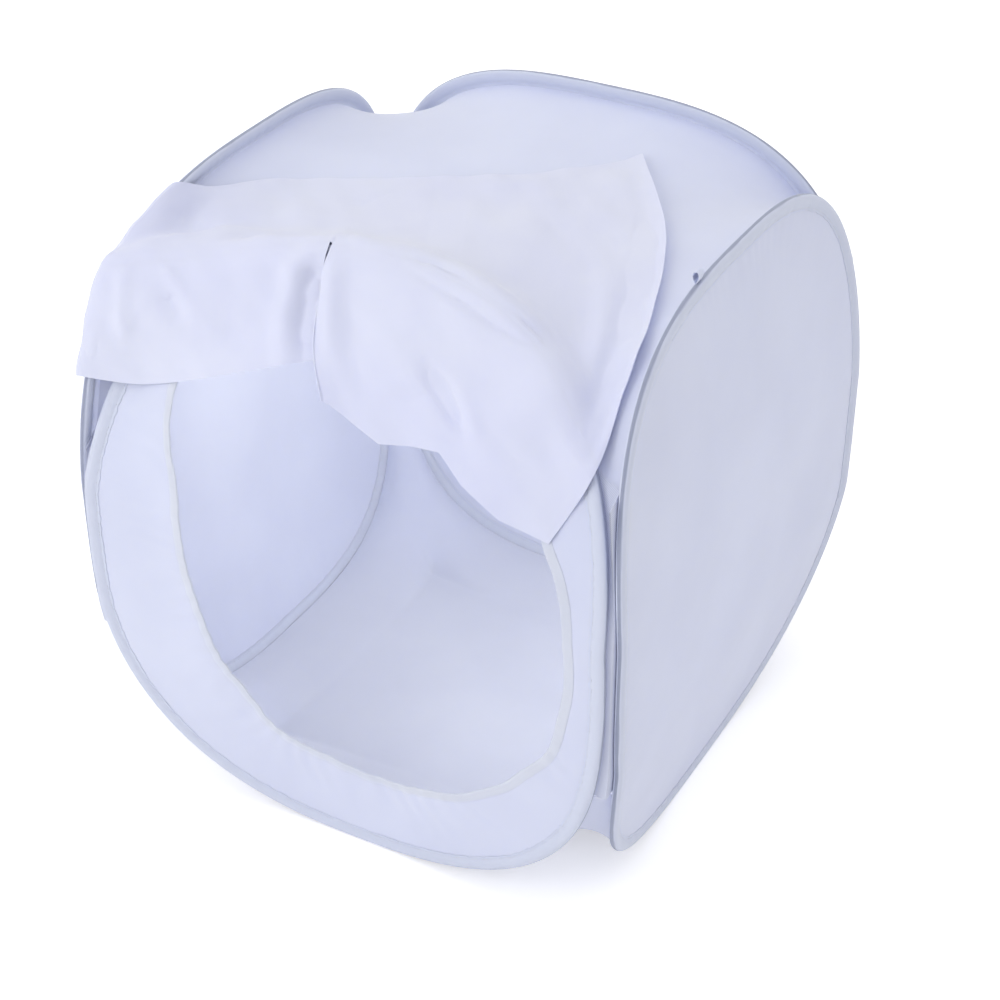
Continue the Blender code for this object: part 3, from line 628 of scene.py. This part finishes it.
def hem_points(along, across):
    """The folded hem: a flat loop of cloth round the opening's edge."""
    side = np.interp(across, HEM_OUT_PLACES, HEM_OUT)
    inward = np.interp(across, HEM_IN_PLACES, HEM_IN)
    edge_u, edge_z = edge_point(FRONT, along, PANEL_EDGE)
    hole_u, hole_z = opening_edge(edge_u, edge_z)
    width = np.hypot(hole_u - edge_u, hole_z - edge_z)
    base = border_points(along, 1.0 - inward * HEM_WIDTH / width)
    base[:, 1] += side * HEM_THICK
    return base


def make_opening_hem():
    made = cloth_grid("opening_hem", BORDER_COLUMNS, HEM_ACROSS, hem_points, (1.35, 0.024), HEM_CLOTH_PAINTED_LIGHTER,
                      THIN_CLOTH)
    return on_wall(made, FRONT)


# The top and the floor, stretched between the rings
FLOOR_EDGE_AT = 0.0060
TOP_EDGE_AT = 0.0185
MEMBRANE_ACROSS = 0.0053
TOP_ACROSS = 0.0018
MEMBRANE_STEPS = 72
MEMBRANE_PASSES = 6000
FLOOR_FLAT_SHARE = 3 / 14
SIDE_STEPS = 1201
APEX_EASE = 0.10
NET_GRID = 144
NET_SLACK_SIZE = 0.16
NET_SLACK_ROOT = 0.15
TOP_SLACK = 0.0012
FLOOR_SLACK = 0.0008


def seam_corner(before, after, z):
    first = to_tent(before, np.zeros(1), np.full(1, z), np.full(1, MEMBRANE_ACROSS))[0]
    second = to_tent(after, np.zeros(1), np.full(1, z), np.full(1, MEMBRANE_ACROSS))[0]
    return np.array([first[0] + second[0], first[1] + second[1], z])


def membrane_side(number, upper, steps):
    """One side of the top or the floor: along a ring, from corner seam to corner seam."""
    wall, before, after = WALLS[number], WALLS[number - 1], WALLS[(number + 1) % 4]
    start, end = (wall.start_apex, wall.end_apex) if upper else (FLOOR_APEX, FLOOR_APEX)
    share = np.linspace(1.0, 0.0, SIDE_STEPS) if upper else np.linspace(-0.5, 0.5, SIDE_STEPS)
    u, z = edge_point(wall, share, TOP_EDGE_AT if upper else FLOOR_EDGE_AT)
    limit = np.where(u < 0.0, start, end)
    keep = z > limit + TOP_EDGE_AT if upper else z < limit
    across = np.full(keep.sum(), MEMBRANE_ACROSS)
    if upper:
        beyond = np.linspace(0.0, 1.0, keep.sum())
        inside = np.clip(np.minimum(beyond, 1.0 - beyond) / APEX_EASE - 0.5, 0.0, 1.0)
        across = MEMBRANE_ACROSS + (TOP_ACROSS - MEMBRANE_ACROSS) * inside
    middle = to_tent(wall, u[keep], z[keep], across)
    line = np.concatenate([[seam_corner(before, wall, start)], middle, [seam_corner(wall, after, end)]])
    run = np.concatenate([[0.0], np.cumsum(np.linalg.norm(np.diff(line, axis=0), axis=1))])
    even = np.linspace(0.0, run[-1], steps + 1)
    return np.stack([np.interp(even, run, line[:, axis]) for axis in range(3)], 1)


def stretched(upper):
    """A square net of points, its four sides on the rings and the rest pulled even as taut cloth is."""
    steps = MEMBRANE_STEPS
    flat = round(FLOOR_FLAT_SHARE * steps)
    front, right, back, left = [membrane_side(number, upper, steps) for number in range(4)]
    share = np.linspace(0.0, 1.0, steps + 1)
    a, b = share[:, None, None], share[None, :, None]
    net = (front[:, None] * (1 - b) + back[::-1][:, None] * b + left[::-1][None] * (1 - a)
           + right[None] * a - front[0] * (1 - a) * (1 - b) - front[-1] * a * (1 - b)
           - back[-1] * (1 - a) * b - back[0] * a * b)
    for _ in range(MEMBRANE_PASSES):
        net[1:-1, 1:-1] = (net[:-2, 1:-1] + net[2:, 1:-1] + net[1:-1, :-2] + net[1:-1, 2:]) / 4
        if not upper:
            net[..., 2] = np.maximum(net[..., 2], CLOTH / 2)
            net[flat:-flat, flat:-flat, 2] = CLOTH / 2
    return net


def net_points(net, a, b):
    """Points of a net at shares along its two ways."""
    steps = np.array(net.shape[:2]) - 1
    x, y = np.clip(a, 0, 1) * steps[0], np.clip(b, 0, 1) * steps[1]
    i, j = np.minimum(x.astype(int), steps[0] - 1), np.minimum(y.astype(int), steps[1] - 1)
    fx, fy = (x - i)[:, None], (y - j)[:, None]
    return ((net[i, j] * (1 - fx) + net[i + 1, j] * fx) * (1 - fy)
            + (net[i, j + 1] * (1 - fx) + net[i + 1, j + 1] * fx) * fy)


def make_membrane(name, upper, node, slack):
    net = stretched(upper)

    def place(a, b):
        points = net_points(net, a, b)
        inner = np.minimum(np.minimum(a, 1 - a), np.minimum(b, 1 - b))
        waves = ripple(points[:, 0], points[:, 1], NET_SLACK_SIZE, 61)
        points[:, 2] += slack * waves * np.clip(inner / NET_SLACK_ROOT, 0, 1)
        points[:, 2] = np.maximum(points[:, 2], CLOTH / 2)
        return points

    made = cloth_grid(name, NET_GRID, NET_GRID, place, (0.6, 0.6), WALL_CLOTH)
    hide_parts(node)
    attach(made, "front_wall")
    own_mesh(made)
    return made


# Corner tapes that hinge the walls, sewn inside each vertical seam
TAPE_ROOT = 0.282
TAPE_TIP = 0.2997
TAPE_INNER = 0.0052
TAPE_LOW = 0.1905
TAPE_UNDER_APEX = 0.0005
TAPE_LAP = 0.0150
LEAF_WIDTH = 0.018
LEAF_COLUMNS = 8
CORNER_COLUMNS = 20
TAPE_ROWS = 60
SEAM_SHARE = 0.25
HINGE_REACH = 0.010
HINGE_HEIGHT = 0.29
CORNER_WALLS = [("front_left", LEFT, FRONT), ("front_right", FRONT, RIGHT), ("back_right", RIGHT, BACK)]


def leaf_points(wall, side, reach, z):
    """Points of a tape's leaf, from its tip at the seam to its root on the sleeve's inner face."""
    tall = np.where(z > wall.widest, RING_HEIGHT - wall.widest, wall.widest)
    lift = (np.abs(z - wall.widest) / tall) ** wall.squareness
    edge = RING_HALF_WIDTH * (1.0 - lift) ** (1 / wall.squareness)
    root = np.minimum(TAPE_ROOT, edge - TAPE_LAP)
    return to_tent(wall, side * (TAPE_TIP - reach * (TAPE_TIP - root)), z, np.full_like(z, TAPE_INNER))


def tape_height(share, out, high):
    """The height at a share of the way up a tape, whose top rises away from its seam."""
    return TAPE_LOW + (high + TOP_EDGE_AT * out - TAPE_LOW) * share


def make_corner_tapes():
    for name, before, after in CORNER_WALLS:
        high = before.end_apex - TAPE_UNDER_APEX

        def place(a, b):
            out = np.abs(a * 2 - 1)
            z = tape_height(b, out, high)
            first = leaf_points(before, 1.0, out, z)
            second = leaf_points(after, -1.0, out, z)
            points = np.where((a < 0.5)[:, None], first, second)
            near = np.clip(out / SEAM_SHARE, 0.0, 1.0)[:, None]
            middle = np.array([seam_corner(before, after, height) for height in z])
            return middle * (1 - near) + points * near

        made = cloth_grid(name + "_corner_tape", CORNER_COLUMNS, TAPE_ROWS, place,
                          (2 * LEAF_WIDTH, high - TAPE_LOW), TWILL, THIN_CLOTH)
        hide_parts(before.name + "_tape_end", after.name + "_tape_start")
        ends = [to_tent(wall, np.full(1, side * (SEAM - HINGE_REACH)), np.full(1, HINGE_HEIGHT),
                        np.full(1, 0.0))[0]
                for wall, side in ((before, 1.0), (after, -1.0))]
        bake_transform(made)
    high = BACK.end_apex - TAPE_UNDER_APEX
    for wall, side, end in ((BACK, 1.0, "end"), (LEFT, -1.0, "start")):
        made = cloth_grid(wall.name + "_open_tape", LEAF_COLUMNS, TAPE_ROWS,
                          lambda a, b: leaf_points(wall, side, a, tape_height(b, a, high)),
                          (LEAF_WIDTH, high - TAPE_LOW), TWILL, THIN_CLOTH)
        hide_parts(wall.name + "_tape_" + end)
        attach(made, wall.name + "_wall")


# The front cover, thrown back over the top, as the frame has it. A column of places runs up from the front
# hem, over the front ring's crest, and on to the hem that lies on the top
COVER_OFF = 0.0014
COVER_WAVES = 0.0012
COVER_WAVES_SIZE = 0.055
WAYS_STEP = 12
CREST_ROW = 2
SLIT_GAP = 0.0030
COVER_LEFT = [
    [(-0.300, -0.262, 0.468), (-0.302, -0.244, 0.508), (-0.303, -0.224, 0.556),
     (-0.303, -0.186, 0.590), (-0.300, -0.154, 0.602), (-0.295, -0.124, 0.608)],
    [(-0.302, -0.284, 0.484), (-0.303, -0.268, 0.530), (-0.296, -0.246, 0.588),
     (-0.288, -0.202, 0.618), (-0.281, -0.170, 0.630), (-0.276, -0.140, 0.638)],
    [(-0.232, -0.268, 0.484), (-0.238, -0.250, 0.548), (-0.228, -0.226, 0.606),
     (-0.240, -0.155, 0.614), (-0.247, -0.120, 0.616), (-0.252, -0.086, 0.617)],
    [(-0.134, -0.252, 0.518), (-0.150, -0.232, 0.566), (-0.155, -0.203, 0.622),
     (-0.205, -0.095, 0.603), (-0.203, -0.058, 0.607), (-0.196, -0.019, 0.609)],
    [(-0.047, -0.238, 0.547), (-0.060, -0.216, 0.592), (-0.056, -0.187, 0.645),
     (-0.128, -0.046, 0.600), (-0.110, 0.003, 0.605), (-0.082, 0.052, 0.609)],
]
COVER_RIGHT = [
    [(-0.028, -0.251, 0.521), (-0.058, -0.224, 0.576), (-0.056, -0.187, 0.645),
     (-0.128, -0.046, 0.600), (-0.110, 0.003, 0.605), (-0.082, 0.052, 0.609)],
    [(0.057, -0.259, 0.500), (0.041, -0.228, 0.566), (0.044, -0.186, 0.645),
     (-0.018, -0.037, 0.602), (-0.018, 0.031, 0.606), (-0.007, 0.094, 0.611)],
    [(0.137, -0.268, 0.478), (0.139, -0.236, 0.547), (0.160, -0.205, 0.616),
     (0.127, -0.086, 0.606), (0.094, 0.036, 0.609), (0.052, 0.156, 0.611)],
    [(0.223, -0.280, 0.451), (0.244, -0.263, 0.494), (0.257, -0.250, 0.523),
     (0.255, -0.151, 0.608), (0.195, 0.026, 0.617), (0.081, 0.197, 0.611)],
]
# How far the halves' main folds stand out, by column from the left
LEFT_STANDS_OUT = [0.0, 0.004, 0.0, 0.005, -0.004]
RIGHT_STANDS_OUT = [0.012, 0.002, 0.008, 0.0]


GUIDE_GRID = 80


def front_guide():
    """A plain copy of the front wall without its opening, for the cloth to lie against."""
    return cloth_grid("front_guide", GUIDE_GRID, GUIDE_GRID, lambda a, b: panel_points(FRONT, a, b),
                      (0.6, 0.6), WALL_CLOTH, None)


def evaluated_tree(made):
    """A search tree of a piece as it shows."""
    shape = made.evaluated_get(bpy.context.evaluated_depsgraph_get())
    mesh = shape.to_mesh()
    tree = BVHTree.FromPolygons([vert.co.copy() for vert in mesh.vertices],
                                [tuple(face.vertices) for face in mesh.polygons])
    shape.to_mesh_clear()
    return tree


def ways_out(net, step):
    """The direction square to a net at each of its points, away from the tent's middle."""
    coarse = net[::step, ::step]
    out = np.cross(np.gradient(coarse, axis=0), np.gradient(coarse, axis=1))
    out *= np.sign(np.sum(out * (coarse - [0.0, 0.0, RING_HEIGHT / 2]), axis=-1))[..., None]
    out /= np.linalg.norm(out, axis=-1)[..., None]
    out = eased(out, 1, 1)
    for size in net.shape[:2]:
        out = smooth_line(out, np.linspace(0.0, 1.0, size)).swapaxes(0, 1)
    return out / np.linalg.norm(out, axis=-1)[..., None]


def eased(field, reach, times=2, axes=(0, 1), **padding):
    """A field with each value made the mean of those within reach steps."""
    for axis in axes * times:
        padded = np.pad(field, [(reach, reach) if axis == way else (0, 0) for way in range(field.ndim)],
                        **(padding or {"mode": "edge"}))
        field = np.mean([np.take(padded, np.arange(step, step + field.shape[axis]), axis)
                         for step in range(2 * reach + 1)], 0)
    return field


def highest_near(field, reach):
    """A field with each value made the highest within reach steps."""
    for axis in (0, 1):
        padded = np.pad(field, [(reach, reach) if axis == way else (0, 0) for way in (0, 1)], mode="edge")
        field = np.max([np.take(padded, np.arange(step, step + field.shape[axis]), axis)
                        for step in range(2 * reach + 1)], 0)
    return field


PUSH_REACH = 0.050
SETTLE = 0.012
SETTLE_ROWS = 45


def pushes(trees, net, ways, clear):
    """How far each point of a net moves, out or in, to lie just clear of the supports."""
    needed = np.zeros(net.shape[:2])
    for column in range(net.shape[0]):
        for row in range(net.shape[1]):
            way = Vector(ways[column, row])
            start = Vector(net[column, row]) + way * PUSH_REACH
            hits = [tree.ray_cast(start, -way, 2 * PUSH_REACH)[3] for tree in trees]
            near = [hit for hit in hits if hit is not None]
            if near:
                needed[column, row] = max(-SETTLE, PUSH_REACH - min(near) + clear)
    return needed


def cover_net(places, stands_out, columns, rows):
    """A fine net on the smooth surface through the cover's places and one more row behind the crest."""
    net = np.array(places)
    net[:, :CREST_ROW, 1] -= np.array(stands_out)[:, None] * np.linspace(1.0, 0.5, CREST_ROW)
    net = np.insert(net, CREST_ROW + 1, (net[:, CREST_ROW] + net[:, CREST_ROW + 1]) / 2, axis=1)
    across = smooth_line(net, np.linspace(0.0, 1.0, columns))
    fine = smooth_line(across.swapaxes(0, 1), np.linspace(0.0, 1.0, rows)).swapaxes(0, 1)
    return eased(fine, CREST_EASE, 2, (1,), mode="reflect", reflect_type="odd")


def in_picture(points):
    """Where the camera sees points, in pixels."""
    camera = bpy.context.scene.camera
    focal = camera.data.lens / camera.data.sensor_width * PICTURE
    near = (points - np.array(camera.location)) @ np.array(camera.rotation_euler.to_matrix())
    return np.stack([PICTURE / 2 - focal * near[..., 0] / near[..., 2],
                     PICTURE / 2 + focal * near[..., 1] / near[..., 2]], -1)


def fold_lift(spots, folds):
    """How far folds lift the cloth. Each is a line in the picture, its height and its half width."""
    total = np.zeros(spots.shape[:-1])
    for line, height, wide in folds:
        line = smooth_line(line, np.linspace(0.0, 1.0, 4 * len(line)))
        best = np.full(total.shape, 1e9)
        share = np.zeros(total.shape)
        for step in range(len(line) - 1):
            start, way = line[step], line[step + 1] - line[step]
            t = np.clip(((spots - start) @ way) / (way @ way), 0.0, 1.0)
            away = np.linalg.norm(spots - start - t[..., None] * way, axis=-1)
            nearer = away < best
            best = np.where(nearer, away, best)
            share = np.where(nearer, (step + t) / (len(line) - 1), share)
        fade = np.minimum(1.0, np.minimum(share + 0.1, 1.1 - share) / 0.35)
        total += height * np.exp(-(best / wide) ** 2) * fade
    return total


def hang_hem(net, drops):
    """Lets the front hem hang lower or higher, by its place in the picture."""
    down = net[:, 0] - net[:, HEM_ROWS]
    down /= np.linalg.norm(down, axis=-1)[:, None]
    fade = np.clip(1.0 - np.arange(net.shape[1]) / (2 * HEM_ROWS), 0.0, 1.0) ** 2
    places, lengths = np.array(drops).T
    drop = np.interp(in_picture(net[:, 0])[:, 0], places, lengths)
    return net + down[:, None] * (drop[:, None] * fade)[..., None]


def piece_of_net(name, net, flat, look, thick=CLOTH):
    """A cloth piece on a part of a fine net."""
    columns, rows = net.shape[0] - 1, net.shape[1] - 1

    def place(a, b):
        return net[np.rint(a * columns).astype(int), np.rint(b * rows).astype(int)]

    return cloth_grid(name, columns, rows, place, flat, look, thick)


COVER_COLUMNS = {"left": 145, "right": 169}
COVER_ROWS = 181
FINE_CREST = 60
COVER_EASE = 5
CREST_EASE = 13
# How far the right half's hem hangs below its even line, by place in the picture
RIGHT_HEM = [(330, 0.0), (350, 0.008), (378, 0.015), (398, 0.006), (413, -0.002), (437, -0.014),
             (461, -0.001), (501, 0.007), (533, 0.003), (550, 0.0)]
HEM_ROWS = 14
COVER_FOLDS = [
    ([(120, 300), (160, 320), (230, 325)], 0.0050, 30),
    ([(190, 225), (260, 215), (330, 212)], 0.0040, 22),
    ([(395, 300), (400, 360), (415, 400)], 0.0060, 30),
    ([(500, 440), (540, 400), (570, 360)], 0.0060, 30),
    ([(430, 225), (500, 240), (560, 270)], 0.0060, 34),
    ([(413, 268), (450, 290), (506, 326), (548, 346)], -0.0080, 9),
    ([(428, 366), (446, 400), (463, 432)], -0.0080, 8),
    ([(452, 372), (468, 404), (480, 440)], 0.0030, 9),
    ([(163, 264), (176, 282), (188, 298)], 0.0026, 7),
    ([(124, 270), (123, 305), (126, 344)], 0.0034, 9),
    ([(166, 292), (174, 305), (186, 322)], -0.0034, 9),
    ([(225, 240), (280, 236), (334, 239)], -0.0040, 5),
    ([(598, 466), (624, 412), (648, 352), (664, 290), (672, 232), (666, 192), (646, 160)], 0.0080, 8),
    ([(582, 436), (604, 382), (626, 322), (642, 266), (646, 218), (638, 190)], -0.0050, 11),
    ([(585, 384), (598, 342), (604, 300), (602, 250)], 0.0040, 13),
    ([(205, 192), (240, 189), (290, 186)], 0.0030, 9),
    ([(480, 184), (520, 183), (560, 184)], 0.0030, 9),
    ([(350, 245), (372, 252), (400, 262)], 0.0030, 8),
]
# Beside the slit the left half's cloth falls back, and the right half's edge rolls out over it
SLIT_FOLDS = {
    "left": [([(322, 246), (300, 268), (290, 300), (285, 335), (286, 372)], 0.0080, 13),
             ([(335, 246), (316, 272), (309, 305), (308, 340), (312, 372)], -0.0060, 9)],
    "right": [([(352, 250), (338, 278), (334, 305), (336, 345), (350, 388)], 0.0080, 12)],
}
SLIT_FADE_ROWS = 14


def make_cover(supports):
    guide = front_guide()
    bpy.context.view_layer.update()
    trees = [evaluated_tree(made) for made in [*supports, guide]]
    bpy.data.objects.remove(guide)
    nets = [cover_net(COVER_LEFT, LEFT_STANDS_OUT, COVER_COLUMNS["left"], COVER_ROWS),
            cover_net(COVER_RIGHT, RIGHT_STANDS_OUT, COVER_COLUMNS["right"], COVER_ROWS)]
    nets[1] = hang_hem(nets[1], RIGHT_HEM)
    slit = len(nets[0])
    net = np.concatenate([nets[0], nets[1][1:]])
    ways = ways_out(net, WAYS_STEP)
    need = pushes(trees, net, ways, COVER_OFF)
    clear = eased(highest_near(need, 2), 1)
    behind = np.clip((np.arange(COVER_ROWS) - FINE_CREST) / SETTLE_ROWS, 0.0, 1.0)
    settled = np.maximum(need, -SETTLE * behind)
    spots = in_picture(net)
    lift = eased(highest_near(settled, 2 * COVER_EASE), COVER_EASE) + fold_lift(spots, COVER_FOLDS)
    lift += COVER_WAVES * ripple(net[..., 0], net[..., 1] + net[..., 2], COVER_WAVES_SIZE, 71)
    top = net + ways * np.maximum(lift, clear)[..., None]
    fade = np.clip((FINE_CREST - np.arange(COVER_ROWS)) / SLIT_FADE_ROWS, 0.0, 1.0)
    halves = {}
    for side, part, columns in (("left", nets[0], slice(0, slit)), ("right", nets[1], slice(slit - 1, None))):
        beside = lift[columns] + fade * fold_lift(spots[columns], SLIT_FOLDS[side])
        halves[side] = part + ways[columns] * np.maximum(beside, clear[columns])[..., None]
    halves["left"][-1, :, 0] -= SLIT_GAP / 2
    halves["right"][0, :, 0] += SLIT_GAP / 2
    made = piece_of_net("cover_on_top", top[:, FINE_CREST:], (0.60, 0.36), COVER_CLOTH)
    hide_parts("cover_top")
    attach(made, "front_wall")
    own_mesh(made)
    for side, part in halves.items():
        made = piece_of_net(f"cover_{side}_front", part[:, :FINE_CREST + 1], (0.3, 0.15), COVER_CLOTH)
        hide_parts(f"cover_{side}_half")
        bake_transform(made)


# Strips and the pull tab
STRIP_LONG = 0.200
STRIP_HIGH = 0.016
STRIP_THICK = 0.0006
STRIP_BELOW_CREST = 0.020
# Each strip's name, its node and how far out of the front wall's cloth it lies
STRIPS = [("loop_strip", "border_loop_tape", 0.0010), ("hook_strip", "cover_hook_tape", 0.0023)]
TAB_LEAN = 0.0042


def crest_height(u):
    """The height of the front ring's outer edge over a place u."""
    reach = np.maximum(0.0, 1.0 - np.abs(u / RING_HALF_WIDTH) ** FRONT.squareness) ** (1.0 / FRONT.squareness)
    return FRONT.widest + reach * (RING_HEIGHT - FRONT.widest)


def strip_points(out, thick, a, b):
    """A soft-edged strip across the border's top, on the cloth's outer face."""
    high = crest_height(np.full(1, STRIP_LONG / 2))[0] - STRIP_BELOW_CREST
    rim = np.clip(np.minimum(np.minimum(a, 1 - a) * 100, np.minimum(b, 1 - b) * 9), 0.0, 1.0)
    return to_tent(FRONT, -STRIP_LONG / 2 + STRIP_LONG * a, high - STRIP_HIGH * b, -(out + thick * rim))


def make_strips():
    made_strips = []
    for name, node, out in STRIPS:
        made = cloth_grid(name, 100, 12, lambda a, b: strip_points(out, STRIP_THICK, a, b),
                          (STRIP_LONG, STRIP_HIGH), HOOK_AND_LOOP, THIN_CLOTH)
        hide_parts(node)
        made_strips.append(on_wall(made, FRONT))
    return made_strips


def make_pull_tab():
    low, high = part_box("pull_tab")
    middle = (low + high) / 2
    tall = high.z - low.z

    def place(a, b):
        angle = math.tau * b
        lean = TAB_LEAN * np.sin(angle) * (0.35 + 0.65 * (1 - np.cos(angle)) / 2)
        return np.stack([middle.x + lean, low.y + (high.y - low.y) * a,
                         low.z + tall * (1 - np.cos(angle)) / 2], 1)

    made = cloth_grid("folded_pull_tab", 12, 32, place, (0.010, 0.026), TAPE, THIN_CLOTH)
    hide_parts("pull_tab")
    return on_wall(made, RIGHT)


# Camera, floor and light
CAMERA_LENS = 79.73
CAMERA_PLACE = (0.9831, -1.7552, 1.6004)
CAMERA_TURN = (0.9846, 0.0, 0.5027)
WHITE = (1.0, 1.0, 1.0, 1.0)
FLOOR_RADIUS = 14.0
FLOOR_HEIGHT = -0.0006
FLOOR_GLOW = 0.38
WORLD_STRENGTH = 0.77
# What a translucent wall lets through is more than the few bounces of a render carry, so three soft lamps
# inside stand for it
INSIDE_WATTS = 0.46
INSIDE_TINT = "#FFFBE6"
# Each lamp's name, place, aim, size, watts and tint
LAMPS = [
    ("key", (-1.6, -2.6, 1.9), (0.0, 0.0, 0.3), 1.8, 26.0, "#FFFFFF"),
    ("overhead", (0.3, 0.4, 2.6), (0.0, 0.0, 0.6), 2.2, 5.0, "#FFFFFF"),
    ("through_the_top", (0.0, 0.02, 0.52), (0.0, 0.02, 0.0), 0.36, INSIDE_WATTS, INSIDE_TINT),
    ("through_the_right", (0.26, 0.05, 0.30), (-0.3, 0.1, 0.25), 0.30, INSIDE_WATTS, INSIDE_TINT),
    ("through_the_front", (-0.05, -0.20, 0.42), (0.0, 0.3, 0.25), 0.24, INSIDE_WATTS, INSIDE_TINT),
]


def make_camera():
    data = bpy.data.cameras.new("camera")
    data.lens = CAMERA_LENS
    made = bpy.data.objects.new("camera", data)
    made.location = CAMERA_PLACE
    made.rotation_euler = CAMERA_TURN
    bpy.context.scene.collection.objects.link(made)
    bpy.context.scene.camera = made


def make_floor():
    """A matt white floor that keeps the object's shadow and looks white to the camera and in gloss."""
    build = bmesh.new()
    bmesh.ops.create_circle(build, cap_ends=True, segments=96, radius=FLOOR_RADIUS)
    floor, tree, shader = new_finish("matt_white_floor", Roughness=0.9, Specular_IOR_Level=0.1)
    shader.inputs["Base Color"].default_value = colour("#FAFAFC")
    seen = seen_by(tree, "Is Camera Ray", "Is Glossy Ray", "Is Transmission Ray")
    glow = add_node(tree, "ShaderNodeMath", {1: FLOOR_GLOW}, {0: seen}, operation="MULTIPLY")
    shader.inputs["Emission Color"].default_value = WHITE
    tree.links.new(glow.outputs[0], shader.inputs["Emission Strength"])
    made = finished("floor", build, floor)
    for vert in made.data.vertices:
        vert.co.z = FLOOR_HEIGHT


def add_lamp(name, place, towards, size, watts, tint):
    """A soft square lamp."""
    data = bpy.data.lights.new(name, "AREA")
    data.size = size
    data.color = colour(tint)[:3]
    data.energy = watts
    made = bpy.data.objects.new(name, data)
    made.location = place
    made.rotation_euler = (Vector(towards) - Vector(place)).to_track_quat("-Z", "Y").to_euler()
    made.visible_camera = False
    bpy.context.scene.collection.objects.link(made)


def make_light():
    world = bpy.data.worlds.new("studio")
    bpy.context.scene.world = world
    world.use_nodes = True
    tree = world.node_tree
    back = tree.nodes["Background"]
    back.inputs["Color"].default_value = WHITE
    seen = seen_by(tree, "Is Camera Ray", "Is Glossy Ray")
    power = add_node(tree, "ShaderNodeMapRange", {3: WORLD_STRENGTH, 4: 1.0}, {0: seen})
    tree.links.new(power.outputs[0], back.inputs["Strength"])
    for lamp in LAMPS:
        add_lamp(*lamp)


def main():
    bpy.context.scene.view_settings.view_transform = "Standard"
    make_camera()
    make_floor()
    make_light()
    for wall in WALLS:
        make_band(wall)
        make_stitches(wall)
        if wall is not FRONT:
            make_panel(wall)
        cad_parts[wall.name + "_ferrule"].data.materials.clear()
        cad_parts[wall.name + "_ferrule"].data.materials.append(CRIMP)
    sleeves = [make_sleeve(wall) for wall in WALLS]
    border = make_border()
    hem = make_opening_hem()
    top = make_membrane("top_taffeta", True, "top_panel", TOP_SLACK)
    make_membrane("floor_taffeta", False, "floor_panel", FLOOR_SLACK)
    make_corner_tapes()
    strips = make_strips()
    make_pull_tab()
    bpy.context.view_layer.update()
    make_cover([top, border, hem] + strips + sleeves)


main()
